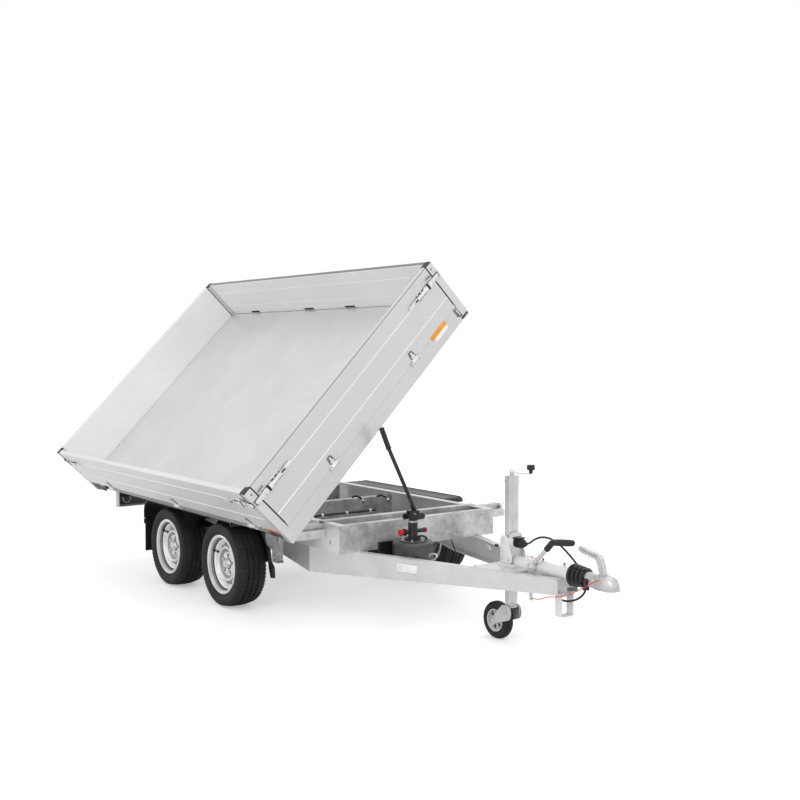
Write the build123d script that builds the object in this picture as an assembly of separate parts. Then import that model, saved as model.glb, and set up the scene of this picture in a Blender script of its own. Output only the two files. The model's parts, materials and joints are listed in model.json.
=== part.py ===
from build123d import *
from math import atan2, cos, degrees, hypot, pi, radians, sin, tan
import os

# Three-way tipping trailer with a tandem axle, stored with its bed tipped to its right side.
# Millimetres. +X points forward to the coupling, +Y to the trailer's left and +Z up.
# The layout below is measured from the ground point midway between the axles.
# The finished pieces are then moved so that the origin is the centre of the coupling ball.

# Coupling
ball_x = 2746.0
ball_z = 439.0
ball_bore_r = 25.25
coupling_skirt = 30.0
socket_r = 36.0

# Chassis frame, from which the wheels, guards and tip bearings take their places across
frame_half_width = 579.0

# Wheels and axles
axle_spacing = 760.0
wheel_y = frame_half_width + 219.0
tyre_r = 262.5
tyre_width = 196.0
bead_r = 166.0
rim_flange_r = 182.0
rim_width = 172.0
bolt_circle_r = 56.0
wheel_bolts = 5
hub_bore_r = 33.0
axle_tube = 70.0
axle_tube_ahead = 150.0
arm_thick = 30.0
arm_inner_y = wheel_y - 158.0
arm_wide = 42.0
arm_narrow = 30.0
drum_r = 116.0
drum_inner = 104.0
back_plate_thick = 4.0
stub_r = 20.0
stub_end_y = wheel_y + 15.0

# Bed, laid out lowered and then turned about its right-hand bearings
tip_angle = 45.7
pivot_y = -frame_half_width - 196.0
pivot_z = 556.0
pivot_pin_r = 12.5
pivot_eye_r = 25.0
pivot_eye_length = 50.0
pin_clearance = 0.05
bed_x = -128.0
bed_length = 2844.0
bed_width = 1790.0
bed_bottom = 639.0
side_height = 420.0
front_bearing_x = bed_x + bed_length / 2 - 244.0
rear_bearing_x = bed_x - bed_length / 2 + 125.0
post_x = 45.0
post_y = 48.0
post_wall = 4.0
cap_height = 6.0
board_thick = 30.0
board_gap = 5.0
hinge_pin_r = 4.0
hinge_r = 7.0
hinge_out = 8.0
latch_height = 235.0
board_foot = 95.0
floor_height = 110.0
floor_thick = 4.0
sill_setback = 18.0

# Frame lengths and heights
frame_front_x = front_bearing_x + 197.0
frame_rear_x = rear_bearing_x + 25.0
frame_bottom = 423.0
frame_top = 583.0
frame_flange = 50.0
frame_plate = 5.0
bearing_bar_drop = 22.0
bearing_bar_rise = 7.0
bearing_arm_half = 22.0
member_half = 30.0
member_drop = 22.0
cradle_reach = 330.0
cradle_half_width = 150.0
cradle_plate = 10.0
cradle_above = 60.0
rear_member_ahead = 260.0
rear_beam_half_width = frame_half_width + 226.0
rear_beam_depth = 50.0
rear_beam_bottom = 400.0
rear_beam_top = 516.0

# Rear lamps
lamp_wide = 220.0
lamp_deep = 45.0

# Drawbar
drawbar_front_x = 2471.0
drawbar_front_y = 75.0
drawbar_bend_x = frame_front_x - 328.0
drawbar_rear_x = frame_front_x - 647.0
drawbar_depth_bend = 153.0
drawbar_depth_front = 80.0
drawbar_depth_rear = 95.0
drawbar_flange = 48.0
drawbar_plate = 5.0
gusset_plate = 8.0

# Telescopic cylinder
trunnion_z = 460.0
eye_z = 669.0
barrel_r = 55.0
barrel_wall = 6.0
barrel_below = 245.0
barrel_above = 45.0
stage_step_r = 9.0
stage_count = 3
stage_length = 285.0
stage_show = 8.0
stage_rise = 12.0
neck_r = 20.0
eye_bore_r = 26.0
eye_ring_r = 36.0
eye_pin_r = 13.0

# Mudguards
guard_top = tyre_r + 290.0
guard_rear = 340.0
guard_front = 180.0
guard_corner = 95.0
guard_sheet = 4.0
guard_outer_y = wheel_y + 107.0
guard_inner_y = wheel_y - 108.0
guard_lip = 12.0
guard_rear_low = 377.0
guard_front_low = 520.0
flap_low = 186.0
flap_thick = 6.0
strip_r = 285.0
strip_thick = 7.0
strip_width = 22.0
strip_low = 305.0
strip_toe_x = 711.0
strip_toe_z = 211.0
front_plate_y = wheel_y - 38.0
front_plate_x = 847.0

# Jack and jockey wheel
mast_x = 2047.0
mast_size_x = 40.0
mast_size_y = 68.0
mast_wall = 3.0
mast_top = 905.0
mast_foot = 432.0
leg_clearance = 0.5
leg_bottom = 215.0
leg_top = 740.0
stem_long = 12.0
swivel_r = 12.05
jockey_pin_r = 8.0
clamp_top = 575.0
jockey_x = mast_x - 105.0
jockey_r = 103.0
jockey_width = 56.0
jockey_rim_r = 62.0

# Overrun device
tube_z = 446.0
tube_r = 33.0
tube_rear_x = mast_x + 185.0
tube_front_x = 2505.0
rod_r = 25.0
bellows_front_x = 2612.0
bellows_r = 59.0
bellows_rings = 4
web_places = (tube_rear_x + 53.0, tube_front_x - 80.0)
web_half = 12.0
web_bottom = 362.0
web_top = 414.0
foot_x = tube_front_x - 80.0
foot_long = 45.0
foot_half = 44.0
foot_plate = 6.0
foot_bottom = 222.0
foot_top = 338.0
handle_half = 13.0
handle_web = 4.0

# Hydraulic pump
tank_x = frame_front_x + 138.0
tank_y = -165.0
tank_r = 118.0
tank_bottom = 322.0
tank_top = 476.0
tank_edge = 10.0
pump_top = tank_top + 179.0

fit = 0.3
bed_half_l = bed_length / 2
bed_half_w = bed_width / 2
bed_top = bed_bottom + side_height


def block(x0, x1, y0, y1, z0, z1):
    """Box between two corners."""
    centre = Pos((x0 + x1) / 2, (y0 + y1) / 2, (z0 + z1) / 2)
    return centre * Box(abs(x1 - x0), abs(y1 - y0), abs(z1 - z0))


def side_plate(points, y0, y1):
    """Outline in X and Z, thick from y0 to y1."""
    face = make_face(Polyline(*points, close=True))
    plane = Plane(origin=(0, y0, 0), x_dir=(1, 0, 0), z_dir=(0, -1, 0))
    return extrude(plane * face, amount=y1 - y0, dir=(0, 1, 0))


def cross_plate(points, x0, x1):
    """Outline in Y and Z, thick from x0 to x1."""
    face = make_face(Polyline(*points, close=True))
    plane = Plane(origin=(x0, 0, 0), x_dir=(0, 1, 0), z_dir=(1, 0, 0))
    return extrude(plane * face, amount=x1 - x0, dir=(1, 0, 0))


def flat_plate(points, z0, z1):
    """Outline in X and Y, thick from z0 to z1."""
    face = make_face(Polyline(*points, close=True))
    return extrude(Pos(0, 0, z0) * face, amount=z1 - z0)


def rod_between(start, end, radius):
    """Round bar from start to end."""
    a, b = Vector(*start), Vector(*end)
    plane = Plane(origin=a, z_dir=b - a)
    return extrude(plane * Circle(radius), amount=(b - a).length)


def along_x(x0, x1, y, z, radius):
    return rod_between((x0, y, z), (x1, y, z), radius)


def along_y(x, y0, y1, z, radius):
    return rod_between((x, y0, z), (x, y1, z), radius)


def along_z(x, y, z0, z1, radius):
    return rod_between((x, y, z0), (x, y, z1), radius)


def mirrored(shape):
    """The same piece on the other side of the centre line."""
    return mirror(shape, about=Plane.XZ)


def tipped(shape):
    """Turns a piece of the lowered bed to where it stands tipped."""
    return shape.rotate(Axis((0, pivot_y, pivot_z), (1, 0, 0)), tip_angle)


def write(name, shape):
    """Moves the origin to the coupling ball and writes one node."""
    shape = Pos(-ball_x, 0, -ball_z) * shape
    export_step(shape, f"parts/{name}.step")


def solids_of(*shapes):
    """Several solids that share one node."""
    return Compound([s for shape in shapes for s in shape.solids()])


# Chassis


def tip_arm(x, side):
    """Arm and eye of one tip bearing, outside the frame."""
    half = pivot_eye_length / 2
    y = abs(pivot_y)
    tall = bearing_arm_half
    reach = y - pivot_pin_r
    slim = pivot_eye_r - frame_plate
    outline = [
        (frame_half_width, pivot_z - tall), (reach, pivot_z - slim),
        (reach, pivot_z + slim), (frame_half_width, pivot_z + tall),
    ]
    arm = cross_plate(outline, x - half, x + half)
    eye = along_x(x - half, x + half, y, pivot_z, pivot_eye_r)
    hole = along_x(x - half - 1, x + half + 1, y, pivot_z, pivot_pin_r + pin_clearance)
    piece = arm + eye - hole
    return piece if side > 0 else mirrored(piece)


def side_beam():
    """Left side beam, a channel with its flanges turned inwards."""
    outer = frame_half_width
    inner = outer - frame_flange
    rear, front = frame_rear_x, frame_front_x - frame_plate
    low, high = frame_bottom + frame_plate, frame_top - frame_plate
    bar = (front_bearing_x - bar_half, front_bearing_x + bar_half)
    body = block(rear, front, inner, outer, frame_bottom, frame_top)
    hollow = block(rear - 1, front + 1, inner - 1, outer - frame_plate, low, high)
    slot = block(*bar, inner - 1, outer + 1, bar_bottom, frame_top + 1)
    return body - hollow - slot


bar_half = pivot_eye_length / 2
bar_bottom = pivot_z - bearing_bar_drop
bar_top = frame_top + bearing_bar_rise


def front_bearing_bar():
    """Box tube across the frame that carries the two front tip bearings."""
    x, half, wide, wall = front_bearing_x, bar_half, frame_half_width, frame_plate
    tube = block(x - half, x + half, -wide, wide, bar_bottom, bar_top)
    inside = half - wall
    hollow = block(x - inside, x + inside, wall - wide, wide - wall, bar_bottom + wall, bar_top - wall)
    return tube - hollow + tip_arm(front_bearing_x, 1) + tip_arm(front_bearing_x, -1)


def rear_bearing_beam():
    """Rear cross member with the two rear tip bearings on its ends."""
    x1 = frame_rear_x
    x0 = x1 - rear_beam_depth
    wide = rear_beam_half_width
    beam = block(x0, x1, -wide, wide, rear_beam_bottom, rear_beam_top)
    wall = frame_plate
    hollow = block(x0 + wall, x1 + 1, wall - wide, wide - wall, rear_beam_bottom + wall, rear_beam_top - wall)
    beam = beam - hollow
    half = pivot_eye_length / 2
    x = rear_bearing_x
    for side in (1, -1):
        y = side * abs(pivot_y)
        spread = 1.3 * pivot_eye_r
        slim = pivot_eye_r - 1
        outline = [
            (y - spread, rear_beam_top - wall), (y + spread, rear_beam_top - wall),
            (y + slim, pivot_z), (y - slim, pivot_z),
        ]
        post = cross_plate(outline, x - half, x + half)
        eye = along_x(x - half, x + half, y, pivot_z, pivot_eye_r)
        hole = along_x(x - half - 1, x + half + 1, y, pivot_z, pivot_pin_r + pin_clearance)
        beam = beam + post + eye - hole
    return beam


def front_cross_member():
    """Front channel across the frame, with its flanges turned rearwards."""
    front = frame_front_x
    rear = front - frame_flange + 4
    wide = frame_half_width
    web = block(front - frame_plate, front, -wide, wide, frame_bottom, frame_top)
    inner = wide - frame_flange
    top = block(rear, front - frame_plate, -inner, inner, frame_top - frame_plate, frame_top)
    foot = block(rear, front - frame_plate, -inner, inner, frame_bottom, frame_bottom + frame_plate)
    return web + top + foot


def cross_channel(x):
    """Inner cross channel between the webs of the side beams."""
    inner = frame_half_width - frame_flange
    wall = frame_plate
    z0, z1 = frame_bottom, frame_top - member_drop
    body = block(x - member_half, x + member_half, -inner, inner, z0, z1)
    hollow_x = (x - member_half - 1, x + member_half - wall)
    return body - block(*hollow_x, -inner - 1, inner + 1, z0 + wall, z1 - wall)


trunnion_pin_r = 15.0
trunnion_gap = 22.0
cradle_bottom = frame_bottom + 4
cradle_front = bed_x + cradle_reach
cradle_rear = bed_x - cradle_reach


def cylinder_cradle():
    """Two rails along the frame and two cross plates that carry the cylinder's trunnion pins."""
    top = trunnion_z + cradle_above
    half = cradle_plate / 2
    wide = cradle_half_width
    rail_x = (cradle_rear + member_half, cradle_front - member_half)
    rails = block(*rail_x, wide, wide + half, cradle_bottom, top)
    piece = rails + mirrored(rails)
    for side in (1, -1):
        x = bed_x + side * (barrel_r + trunnion_gap)
        plate = block(x - half, x + half, -wide, wide, cradle_bottom, top)
        hole = along_x(x - half - 1, x + half + 1, 0, trunnion_z, trunnion_pin_r + pin_clearance)
        piece = piece + plate - hole
    return piece


def cross_members():
    return [cross_channel(x) for x in (cradle_front, cradle_rear, frame_rear_x + rear_member_ahead)]


# Drawbar


def drawbar_side():
    """Left drawbar beam, a tapering channel that bends under the side beam."""
    top = frame_bottom
    run = hypot(drawbar_front_x - drawbar_bend_x, frame_half_width - drawbar_front_y)
    ux = (drawbar_front_x - drawbar_bend_x) / run
    uy = -(frame_half_width - drawbar_front_y) / run
    # Inward normal of the slanted web
    nx, ny = uy, -ux
    def inset(d):
        """The outer line moved inwards by d."""
        slant_point = (drawbar_front_x + nx * d, drawbar_front_y + ny * d)
        y = frame_half_width - d
        t = (y - slant_point[1]) / uy
        bend = (slant_point[0] + ux * t, y)
        t2 = (drawbar_front_x - slant_point[0]) / ux
        front = (drawbar_front_x, slant_point[1] + uy * t2)
        return [(drawbar_rear_x, y), bend, front]

    def strip(d0, d1, z0, z1):
        return flat_plate(inset(d0) + inset(d1)[::-1], z0, z1)

    deep = drawbar_depth_bend
    # The lower edge rises to both ends, so the channel is cut and its lower flange follows
    cut_rear = drawbar_rear_x - 1
    cut_low = top - 1.5 * deep
    cut_wide = frame_half_width + 1
    profile = [
        (cut_rear, top - drawbar_depth_rear),
        (drawbar_bend_x, top - deep),
        (drawbar_front_x + 1, top - drawbar_depth_front),
    ]
    below = profile + [(drawbar_front_x + 1, cut_low), (cut_rear, cut_low)]
    band = profile + [(x, z + drawbar_plate) for x, z in profile[::-1]]
    web = strip(0, drawbar_plate, top - deep, top) - side_plate(below, 0, cut_wide)
    upper = strip(drawbar_plate, drawbar_flange, top - drawbar_plate, top)
    lower = strip(drawbar_plate, drawbar_flange, top - deep - 1, top - drawbar_plate)
    lower = lower & side_plate(band, 0, cut_wide)
    return web + upper + lower


def drawbar_gusset():
    """Top plate that ties the drawbar beams behind the overrun device."""
    x0, x1 = mast_x - 72, tube_rear_x - 2
    near, far = drawbar_half(x1) - drawbar_plate, drawbar_half(x0) - drawbar_plate
    points = [(x0, -far), (x1, -near), (x1, near), (x0, far)]
    plate = flat_plate(points, frame_bottom, frame_bottom + gusset_plate)
    room = 4.0
    hx, hy = mast_size_x / 2 + room, mast_size_y / 2 + room
    hole = block(mast_x - hx, mast_x + hx, -hy, hy, frame_bottom - 1, frame_bottom + gusset_plate + 1)
    return plate - hole


drawbar_slope = (frame_half_width - drawbar_front_y) / (drawbar_front_x - drawbar_bend_x)


def drawbar_half(x):
    """Distance from the centre line to the outer face of a drawbar beam."""
    return drawbar_front_y + (drawbar_front_x - x) * drawbar_slope


# Axles


def axle(x):
    """Rubber sprung axle: tube, arms, stubs and brake back plates, as one piece."""
    tube_x = x + axle_tube_ahead
    half = axle_tube / 2
    z = frame_bottom - half
    piece = block(tube_x - half, tube_x + half, -arm_inner_y, arm_inner_y, z - half, z + half)
    reach = hypot(axle_tube_ahead, z - tyre_r)
    ux, uz = (x - tube_x) / reach, (tyre_r - z) / reach
    corners = [
        (tube_x - uz * arm_wide, z + ux * arm_wide),
        (x - uz * arm_narrow, tyre_r + ux * arm_narrow),
        (x + uz * arm_narrow, tyre_r - ux * arm_narrow),
        (tube_x + uz * arm_wide, z - ux * arm_wide),
    ]
    arm_outer_y = arm_inner_y + arm_thick
    arm = side_plate(corners, arm_inner_y, arm_outer_y)
    arm = arm + along_y(tube_x, arm_inner_y, arm_outer_y, z, arm_wide)
    arm = arm + along_y(x, arm_inner_y, arm_outer_y, tyre_r, arm_narrow)
    stub = along_y(x, arm_outer_y, stub_end_y, tyre_r, stub_r)
    back_y = wheel_y - drum_inner - 2 * back_plate_thick
    back = along_y(x, back_y, back_y + back_plate_thick, tyre_r, drum_r + 2)
    pad_half = axle_tube - 10
    pad_y = (frame_half_width - frame_flange, frame_half_width)
    pad_low = frame_bottom - 2 * back_plate_thick
    pad = block(tube_x - pad_half, tube_x + pad_half, *pad_y, pad_low, frame_bottom)
    left = arm + stub + back + pad
    return piece + left + mirrored(left)


def tyre(r, width, inner_r, bead_y, bead_top, crown_drop):
    """Tyre standing at the origin, turned about Y; its profile is radius and Y."""
    w = width / 2
    side = w * 0.86
    top = r - crown_drop * 2
    edge = w * 0.78
    low = r - crown_drop * 0.5
    mid = (bead_top + top) / 2
    with BuildSketch() as profile:
        with BuildLine():
            Line((inner_r, bead_y), (inner_r, -bead_y))
            Line((inner_r, -bead_y), (bead_top, -bead_y))
            ThreePointArc((bead_top, -bead_y), (mid, -w), (top, -side))
            Line((top, -side), (low, -edge))
            ThreePointArc((low, -edge), (r, 0), (low, edge))
            Line((low, edge), (top, side))
            ThreePointArc((top, side), (mid, w), (bead_top, bead_y))
            Line((bead_top, bead_y), (inner_r, bead_y))
        make_face()
    return revolve(profile.sketch, axis=Axis.Y)


def rim():
    """Pressed steel rim with hub and drum for a left wheel, at the origin, outer face to +Y."""
    w = rim_width / 2
    seat = bead_r - fit
    flange = rim_flange_r
    # Flange, seat, well, seat, flange on the tyre's side, then back along the inner side
    barrel = [
        (flange, -w), (flange, -w + 5), (seat, -w + 6), (seat - 2, -w + 30), (seat - 16, -w + 42),
        (seat - 16, w - 62), (seat - 2, w - 40), (seat, w - 6), (flange, w - 5), (flange, w),
        (seat - 5, w), (seat - 7, w - 38), (seat - 21, w - 60), (seat - 21, -w + 40),
        (seat - 7, -w + 30), (seat - 5, -w),
    ]
    disc = [
        (hub_bore_r, 28), (72, 28), (84, 38), (104, 46), (118, 42), (seat - 21.5, 26), (seat - 20, 20),
        (seat - 20, 32), (124, 48), (106, 52), (80, 44), (68, 34), (hub_bore_r, 34),
    ]
    piece = ring_of(barrel) + ring_of(disc)
    hub = ring_of([(0, 20), (64, 20), (64, 28), (31, 28), (31, 58), (26, 64), (0, 64)])
    deep = -drum_inner
    drum = ring_of([
        (26, deep), (drum_r - 4, deep), (drum_r, deep + 6), (drum_r, 8), (64, 20),
        (58, 20), (drum_r - 16, 2), (drum_r - 16, deep + 6), (26, deep + 6),
    ])
    bore_r = stub_r + pin_clearance
    sleeve = ring_of([(bore_r, deep), (32, deep), (32, 24), (bore_r, 24)])
    bore = along_y(0, deep - 1, 16, 0, bore_r)
    piece = piece + drum + hub + sleeve - bore
    step = 360 / wheel_bolts
    for k in range(wheel_bolts):
        a = radians(k * step + 90)
        x, z = bolt_circle_r * cos(a), bolt_circle_r * sin(a)
        piece = piece + along_y(x, 33, 46, z, 9.5)
    for k in range(8):
        a = radians(k * 45 + 22.5)
        x, z = 119 * cos(a), 119 * sin(a)
        piece = piece - along_y(x, 20, 60, z, 8)
    return piece


def ring_of(points):
    """Turns an outline of radius and Y about the Y axis."""
    face = make_face(Polyline(*points, close=True))
    turned = revolve(Plane.XY * face, axis=Axis.Y)
    return turned


# Bed, laid out lowered


def corner_post(sx, sy):
    x0, x1 = sorted((bed_x + sx * bed_half_l, bed_x + sx * (bed_half_l - post_x)))
    y0, y1 = sorted((sy * bed_half_w, sy * (bed_half_w - post_y)))
    post = block(x0, x1, y0, y1, bed_bottom, bed_top - cap_height)
    wall = post_wall
    return post - block(x0 + wall, x1 - wall, y0 + wall, y1 - wall, bed_bottom - 1, bed_top)


def post_cap(sx, sy):
    x0, x1 = sorted((bed_x + sx * bed_half_l, bed_x + sx * (bed_half_l - post_x)))
    y0, y1 = sorted((sy * bed_half_w, sy * (bed_half_w - post_y)))
    top = block(x0, x1, y0, y1, bed_top - cap_height, bed_top)
    wall = post_wall + 0.2
    low = bed_top - cap_height - 20
    plug = block(x0 + wall, x1 - wall, y0 + wall, y1 - wall, low, bed_top - cap_height)
    upper = top.edges().group_by(Axis.Z)[-1]
    return fillet(upper, cap_height / 3) + plug


def floor_tray():
    """Floor sheet with the edge sills between the corner posts."""
    in_x, in_y = bed_half_l - board_thick - board_gap, bed_half_w - board_thick - board_gap
    top = bed_bottom + floor_height
    sheet = block(bed_x - in_x, bed_x + in_x, -in_y, in_y, top - floor_thick, top)
    for sx in (1, -1):
        for sy in (1, -1):
            x0, x1 = sorted((bed_x + sx * (bed_half_l + 1), bed_x + sx * (bed_half_l - post_x)))
            y0, y1 = sorted((sy * (bed_half_w + 1), sy * (bed_half_w - post_y)))
            sheet = sheet - block(x0, x1, y0, y1, bed_bottom, bed_top)
    return sheet


sill_top = board_foot - 5
sill_wall = 4.0
end_setback = 2.0
end_sill_deep = 50.0
side_sill_deep = 45.0
side_sill_raise = 20.0


def end_sill(sx):
    """Front or rear sill, a channel open inwards, flush with the boards."""
    wide = bed_half_w - post_y
    outer = bed_x + sx * (bed_half_l - end_setback)
    inner = bed_x + sx * (bed_half_l - end_setback - end_sill_deep)
    x0, x1 = sorted((outer, inner))
    low, high = bed_bottom, bed_bottom + sill_top
    body = block(x0, x1, -wide, wide, low, high)
    hx0, hx1 = sorted((outer - sx * sill_wall, inner - sx * 1))
    return body - block(hx0, hx1, -wide - 1, wide + 1, low + sill_wall, high - sill_wall)


def side_sill(sy):
    long = bed_half_l - end_setback - end_sill_deep
    outer = sy * (bed_half_w - sill_setback)
    inner = sy * (bed_half_w - sill_setback - side_sill_deep)
    y0, y1 = sorted((outer, inner))
    low, high = bed_bottom + side_sill_raise, bed_bottom + sill_top
    body = block(bed_x - long, bed_x + long, y0, y1, low, high)
    hy0, hy1 = sorted((outer - sy * sill_wall, inner - sy * 1))
    return body - block(bed_x - long - 1, bed_x + long + 1, hy0, hy1, low + sill_wall, high - sill_wall)


runner_y = 549.0
runner_half = 30.0
runner_bottom = bed_bottom - 30.0
joist_bottom = bed_bottom + 45.0
joist_top = bed_bottom + floor_height - floor_thick


joist_half = 20.0
joist_wall = 4.0
joist_wide = bed_half_w - sill_setback - side_sill_deep - joist_wall
fork_reach = 100.0
joist_shares = (-0.685, -0.456, -0.2285, 0.2285, 0.456, 0.685)
joist_places = [bed_half_l * share for share in joist_shares] + [-fork_reach, fork_reach]
fork_inside = 36.0


def bed_runners():
    """Two box tubes under the joists."""
    x0 = bed_x - bed_half_l + end_setback + end_sill_deep + joist_wall
    x1 = 2 * bed_x - x0
    y0, y1 = runner_y - runner_half, runner_y + runner_half
    wall = joist_wall
    runner = block(x0, x1, y0, y1, runner_bottom, joist_bottom)
    inside = block(x0 - 1, x1 + 1, y0 + wall, y1 - wall, runner_bottom + wall, joist_bottom - wall)
    return [runner - inside, mirrored(runner - inside)]


def joist(x):
    """Cross channel under the floor sheet."""
    wide, wall = joist_wide, joist_wall
    body = block(x - joist_half, x + joist_half, -wide, wide, joist_bottom, joist_top)
    hollow_x = (x - joist_half + wall, x + joist_half + 1)
    return body - block(*hollow_x, -wide - 1, wide + 1, joist_bottom + wall, joist_top - wall)


def tip_bearing(x):
    """Joist with a forked cheek pair at each end; the right-hand pair holds the pin."""
    gap = pivot_eye_length / 2 + 3
    cheek_thick = 8.0
    cheek_half = 27.0
    shoulder = 40.0
    piece = joist(x)
    for sy in (1, -1):
        y = sy * abs(pivot_y)
        seat_x = (x - gap - cheek_thick, x + gap + cheek_thick)
        piece = piece + block(*seat_x, y - cheek_half, y + cheek_half, joist_bottom, joist_top)
        for sx in (1, -1):
            x0, x1 = sorted((x + sx * gap, x + sx * (gap + cheek_thick)))
            inner = y - sy * (cheek_half + shoulder)
            outline = [
                (y + sy * cheek_half, pivot_z), (y + sy * cheek_half, joist_bottom + 1),
                (inner, joist_bottom + 1), (y - sy * cheek_half, pivot_z),
            ]
            cheek = cross_plate(outline, x0, x1) + along_x(x0, x1, y, pivot_z, cheek_half)
            if sy > 0:
                cheek = cheek - along_x(x0 - 1, x1 + 1, y, pivot_z, pivot_pin_r + 0.5)
            piece = piece + cheek
    return piece + along_x(x - gap - cheek_thick, x + gap + cheek_thick, pivot_y, pivot_z, pivot_pin_r)


def cylinder_fork():
    """Fork and pin between the two middle joists, over the cylinder's eye."""
    reach = fork_reach - joist_half
    cheek_thick = 12.0
    wide, slim = 60.0, 30.0
    low = eye_z - 20
    piece = block(bed_x - reach, bed_x + reach, -wide, wide, joist_top - 8, joist_top)
    outline = [(-slim, low), (slim, low), (wide - 8, joist_top - 8), (8 - wide, joist_top - 8)]
    for side in (1, -1):
        x0, x1 = sorted((bed_x + side * fork_inside, bed_x + side * (fork_inside + cheek_thick)))
        piece = piece + cross_plate(outline, x0, x1) + along_x(x0, x1, 0, eye_z, slim)
    pin = fork_inside + cheek_thick
    return piece + along_x(bed_x - pin, bed_x + pin, 0, eye_z, eye_pin_r)


plank_joints = (0.385, 0.70)


def board_outline(height):
    """Section of one drop board: three planks with small ridges between them."""
    t = board_thick
    points = [(0, 0)]
    for share in plank_joints:
        z = height * share
        points += [(0, z - 3), (-1.5, z), (0, z + 3)]
    points += [(0, height), (-t, height), (-t, 0)]
    return points


def on_side(side, shape):
    """Takes a piece drawn outwards along X from a board's foot to one side of the bed."""
    foot_z = bed_bottom + board_foot
    places = {
        "front": Pos(bed_x + bed_half_l, 0, foot_z),
        "rear": Pos(bed_x - bed_half_l, 0, foot_z) * Rot(0, 0, 180),
        "left": Pos(bed_x, bed_half_w, foot_z) * Rot(0, 0, 90),
        "right": Pos(bed_x, -bed_half_w, foot_z) * Rot(0, 0, -90),
    }
    return places[side] * shape


def hinge_places(side):
    """Hinge centres along one side, from the middle of that side."""
    if side in ("front", "rear"):
        return [bed_half_w * share for share in (-0.4525, 0.4525)]
    turned = 1 if side == "right" else -1
    return [turned * bed_half_l * share for share in (-0.661, 0.0914, 0.7736)]


hinge_wide = 50.0
lug_wide = 18.0
lug_gap = 1.0
lug_deep = 22.0


def hinge_strap(a):
    """Strap and knuckle on a board, around the hinge pin; the strap narrows upwards."""
    half = hinge_wide / 2
    outline = [(a - half, 0), (a + half, 0), (a + 0.6 * half, 60), (a - 0.6 * half, 60)]
    strap = cross_plate(outline, 0, 4) + block(0, hinge_out, a - half, a + half, 0, hinge_r)
    strap = strap + along_y(hinge_out, a - half, a + half, 0, hinge_r)
    return strap - along_y(hinge_out, a - half - 1, a + half + 1, 0, hinge_pin_r + pin_clearance)


def hinge_lugs(a, setback):
    """Two lugs with the pin, standing out from a sill."""
    inner = hinge_wide / 2 + lug_gap
    outer = inner + lug_wide
    piece = along_y(hinge_out, a - outer, a + outer, 0, hinge_pin_r)
    for s in (1, -1):
        y0, y1 = sorted((a + s * inner, a + s * outer))
        piece = piece + block(-setback, hinge_out, y0, y1, -lug_deep, -board_gap)
        piece = piece + block(1, hinge_out, y0, y1, -lug_deep, 0) + along_y(hinge_out, y0, y1, 0, hinge_r)
    return piece


def latch(end, d):
    """Over-centre latch near one end of a board: base, cheeks, lever and the claw over the post."""

    def flat(points, z0, z1):
        """Outline of distance out and distance past the board's end, seen from above."""
        return flat_plate([(out, end + d * past) for out, past in points], z0, z1)

    z = latch_height
    half = 7.0
    base = flat([(0, -172), (0, -30), (3, -30), (3, -172)], z - 22, z + 22)
    cheek = [(2, -104), (2, -28), (9, -28), (15, -46), (15, -88), (9, -104)]
    cheeks = flat(cheek, z - half - 4, z - half) + flat(cheek, z + half, z + half + 4)
    lever = [(10, -100), (12, -30), (16, -30), (16, -150), (13, -244), (9, -252), (8, -248), (10, -150)]
    claw = [(9, -46), (12, -46), (7, -8), (6, 35), (1, 35), (1, 28), (3, 26), (3, -12)]
    return base + cheeks + flat(lever, z - half, z + half) + flat(claw, z - half + 2, z + half - 2)


def drop_board(side):
    """One closed drop board with its hinge straps and latches."""
    post = post_y if side in ("front", "rear") else post_x
    long = (bed_half_w if side in ("front", "rear") else bed_half_l) - post - board_gap
    height = side_height - board_foot
    piece = side_plate(board_outline(height), -long, long)
    for a in hinge_places(side):
        piece = piece + hinge_strap(a)
    return piece + latch(long, 1) + latch(-long, -1)


def bed_sills():
    """Edge sills between the corner posts, with the hinge lugs."""
    shapes = []
    for side, sill, setback in (
        ("front", end_sill(1), end_setback),
        ("rear", end_sill(-1), end_setback),
        ("left", side_sill(1), sill_setback),
        ("right", side_sill(-1), sill_setback),
    ):
        for a in hinge_places(side):
            sill = sill + on_side(side, hinge_lugs(a, setback))
        shapes.append(sill)
    return shapes


def build_bed():
    posts = [corner_post(sx, sy) for sx in (1, -1) for sy in (1, -1)]
    caps = [post_cap(sx, sy) for sx in (1, -1) for sy in (1, -1)]
    write("corner_posts", tipped(solids_of(*posts)))
    write("post_caps", tipped(solids_of(*caps)))
    write("bed_floor", tipped(floor_tray()))
    write("bed_sills", tipped(solids_of(*bed_sills())))
    write("bed_runners", tipped(solids_of(*bed_runners())))
    write("bed_joists", tipped(solids_of(*[joist(bed_x + d) for d in joist_places])))
    write("bed_bearings", tipped(solids_of(tip_bearing(front_bearing_x), tip_bearing(rear_bearing_x))))
    write("cylinder_fork", tipped(cylinder_fork()))
    for side in ("front", "rear", "left", "right"):
        write(f"board_{side}", tipped(on_side(side, drop_board(side))))


# Telescopic cylinder, laid out where it stands with the bed tipped


def tipped_eye():
    a = radians(tip_angle)
    dy, dz = 0.0 - pivot_y, eye_z - pivot_z
    return pivot_y + cos(a) * dy - sin(a) * dz, pivot_z + sin(a) * dy + cos(a) * dz


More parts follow.
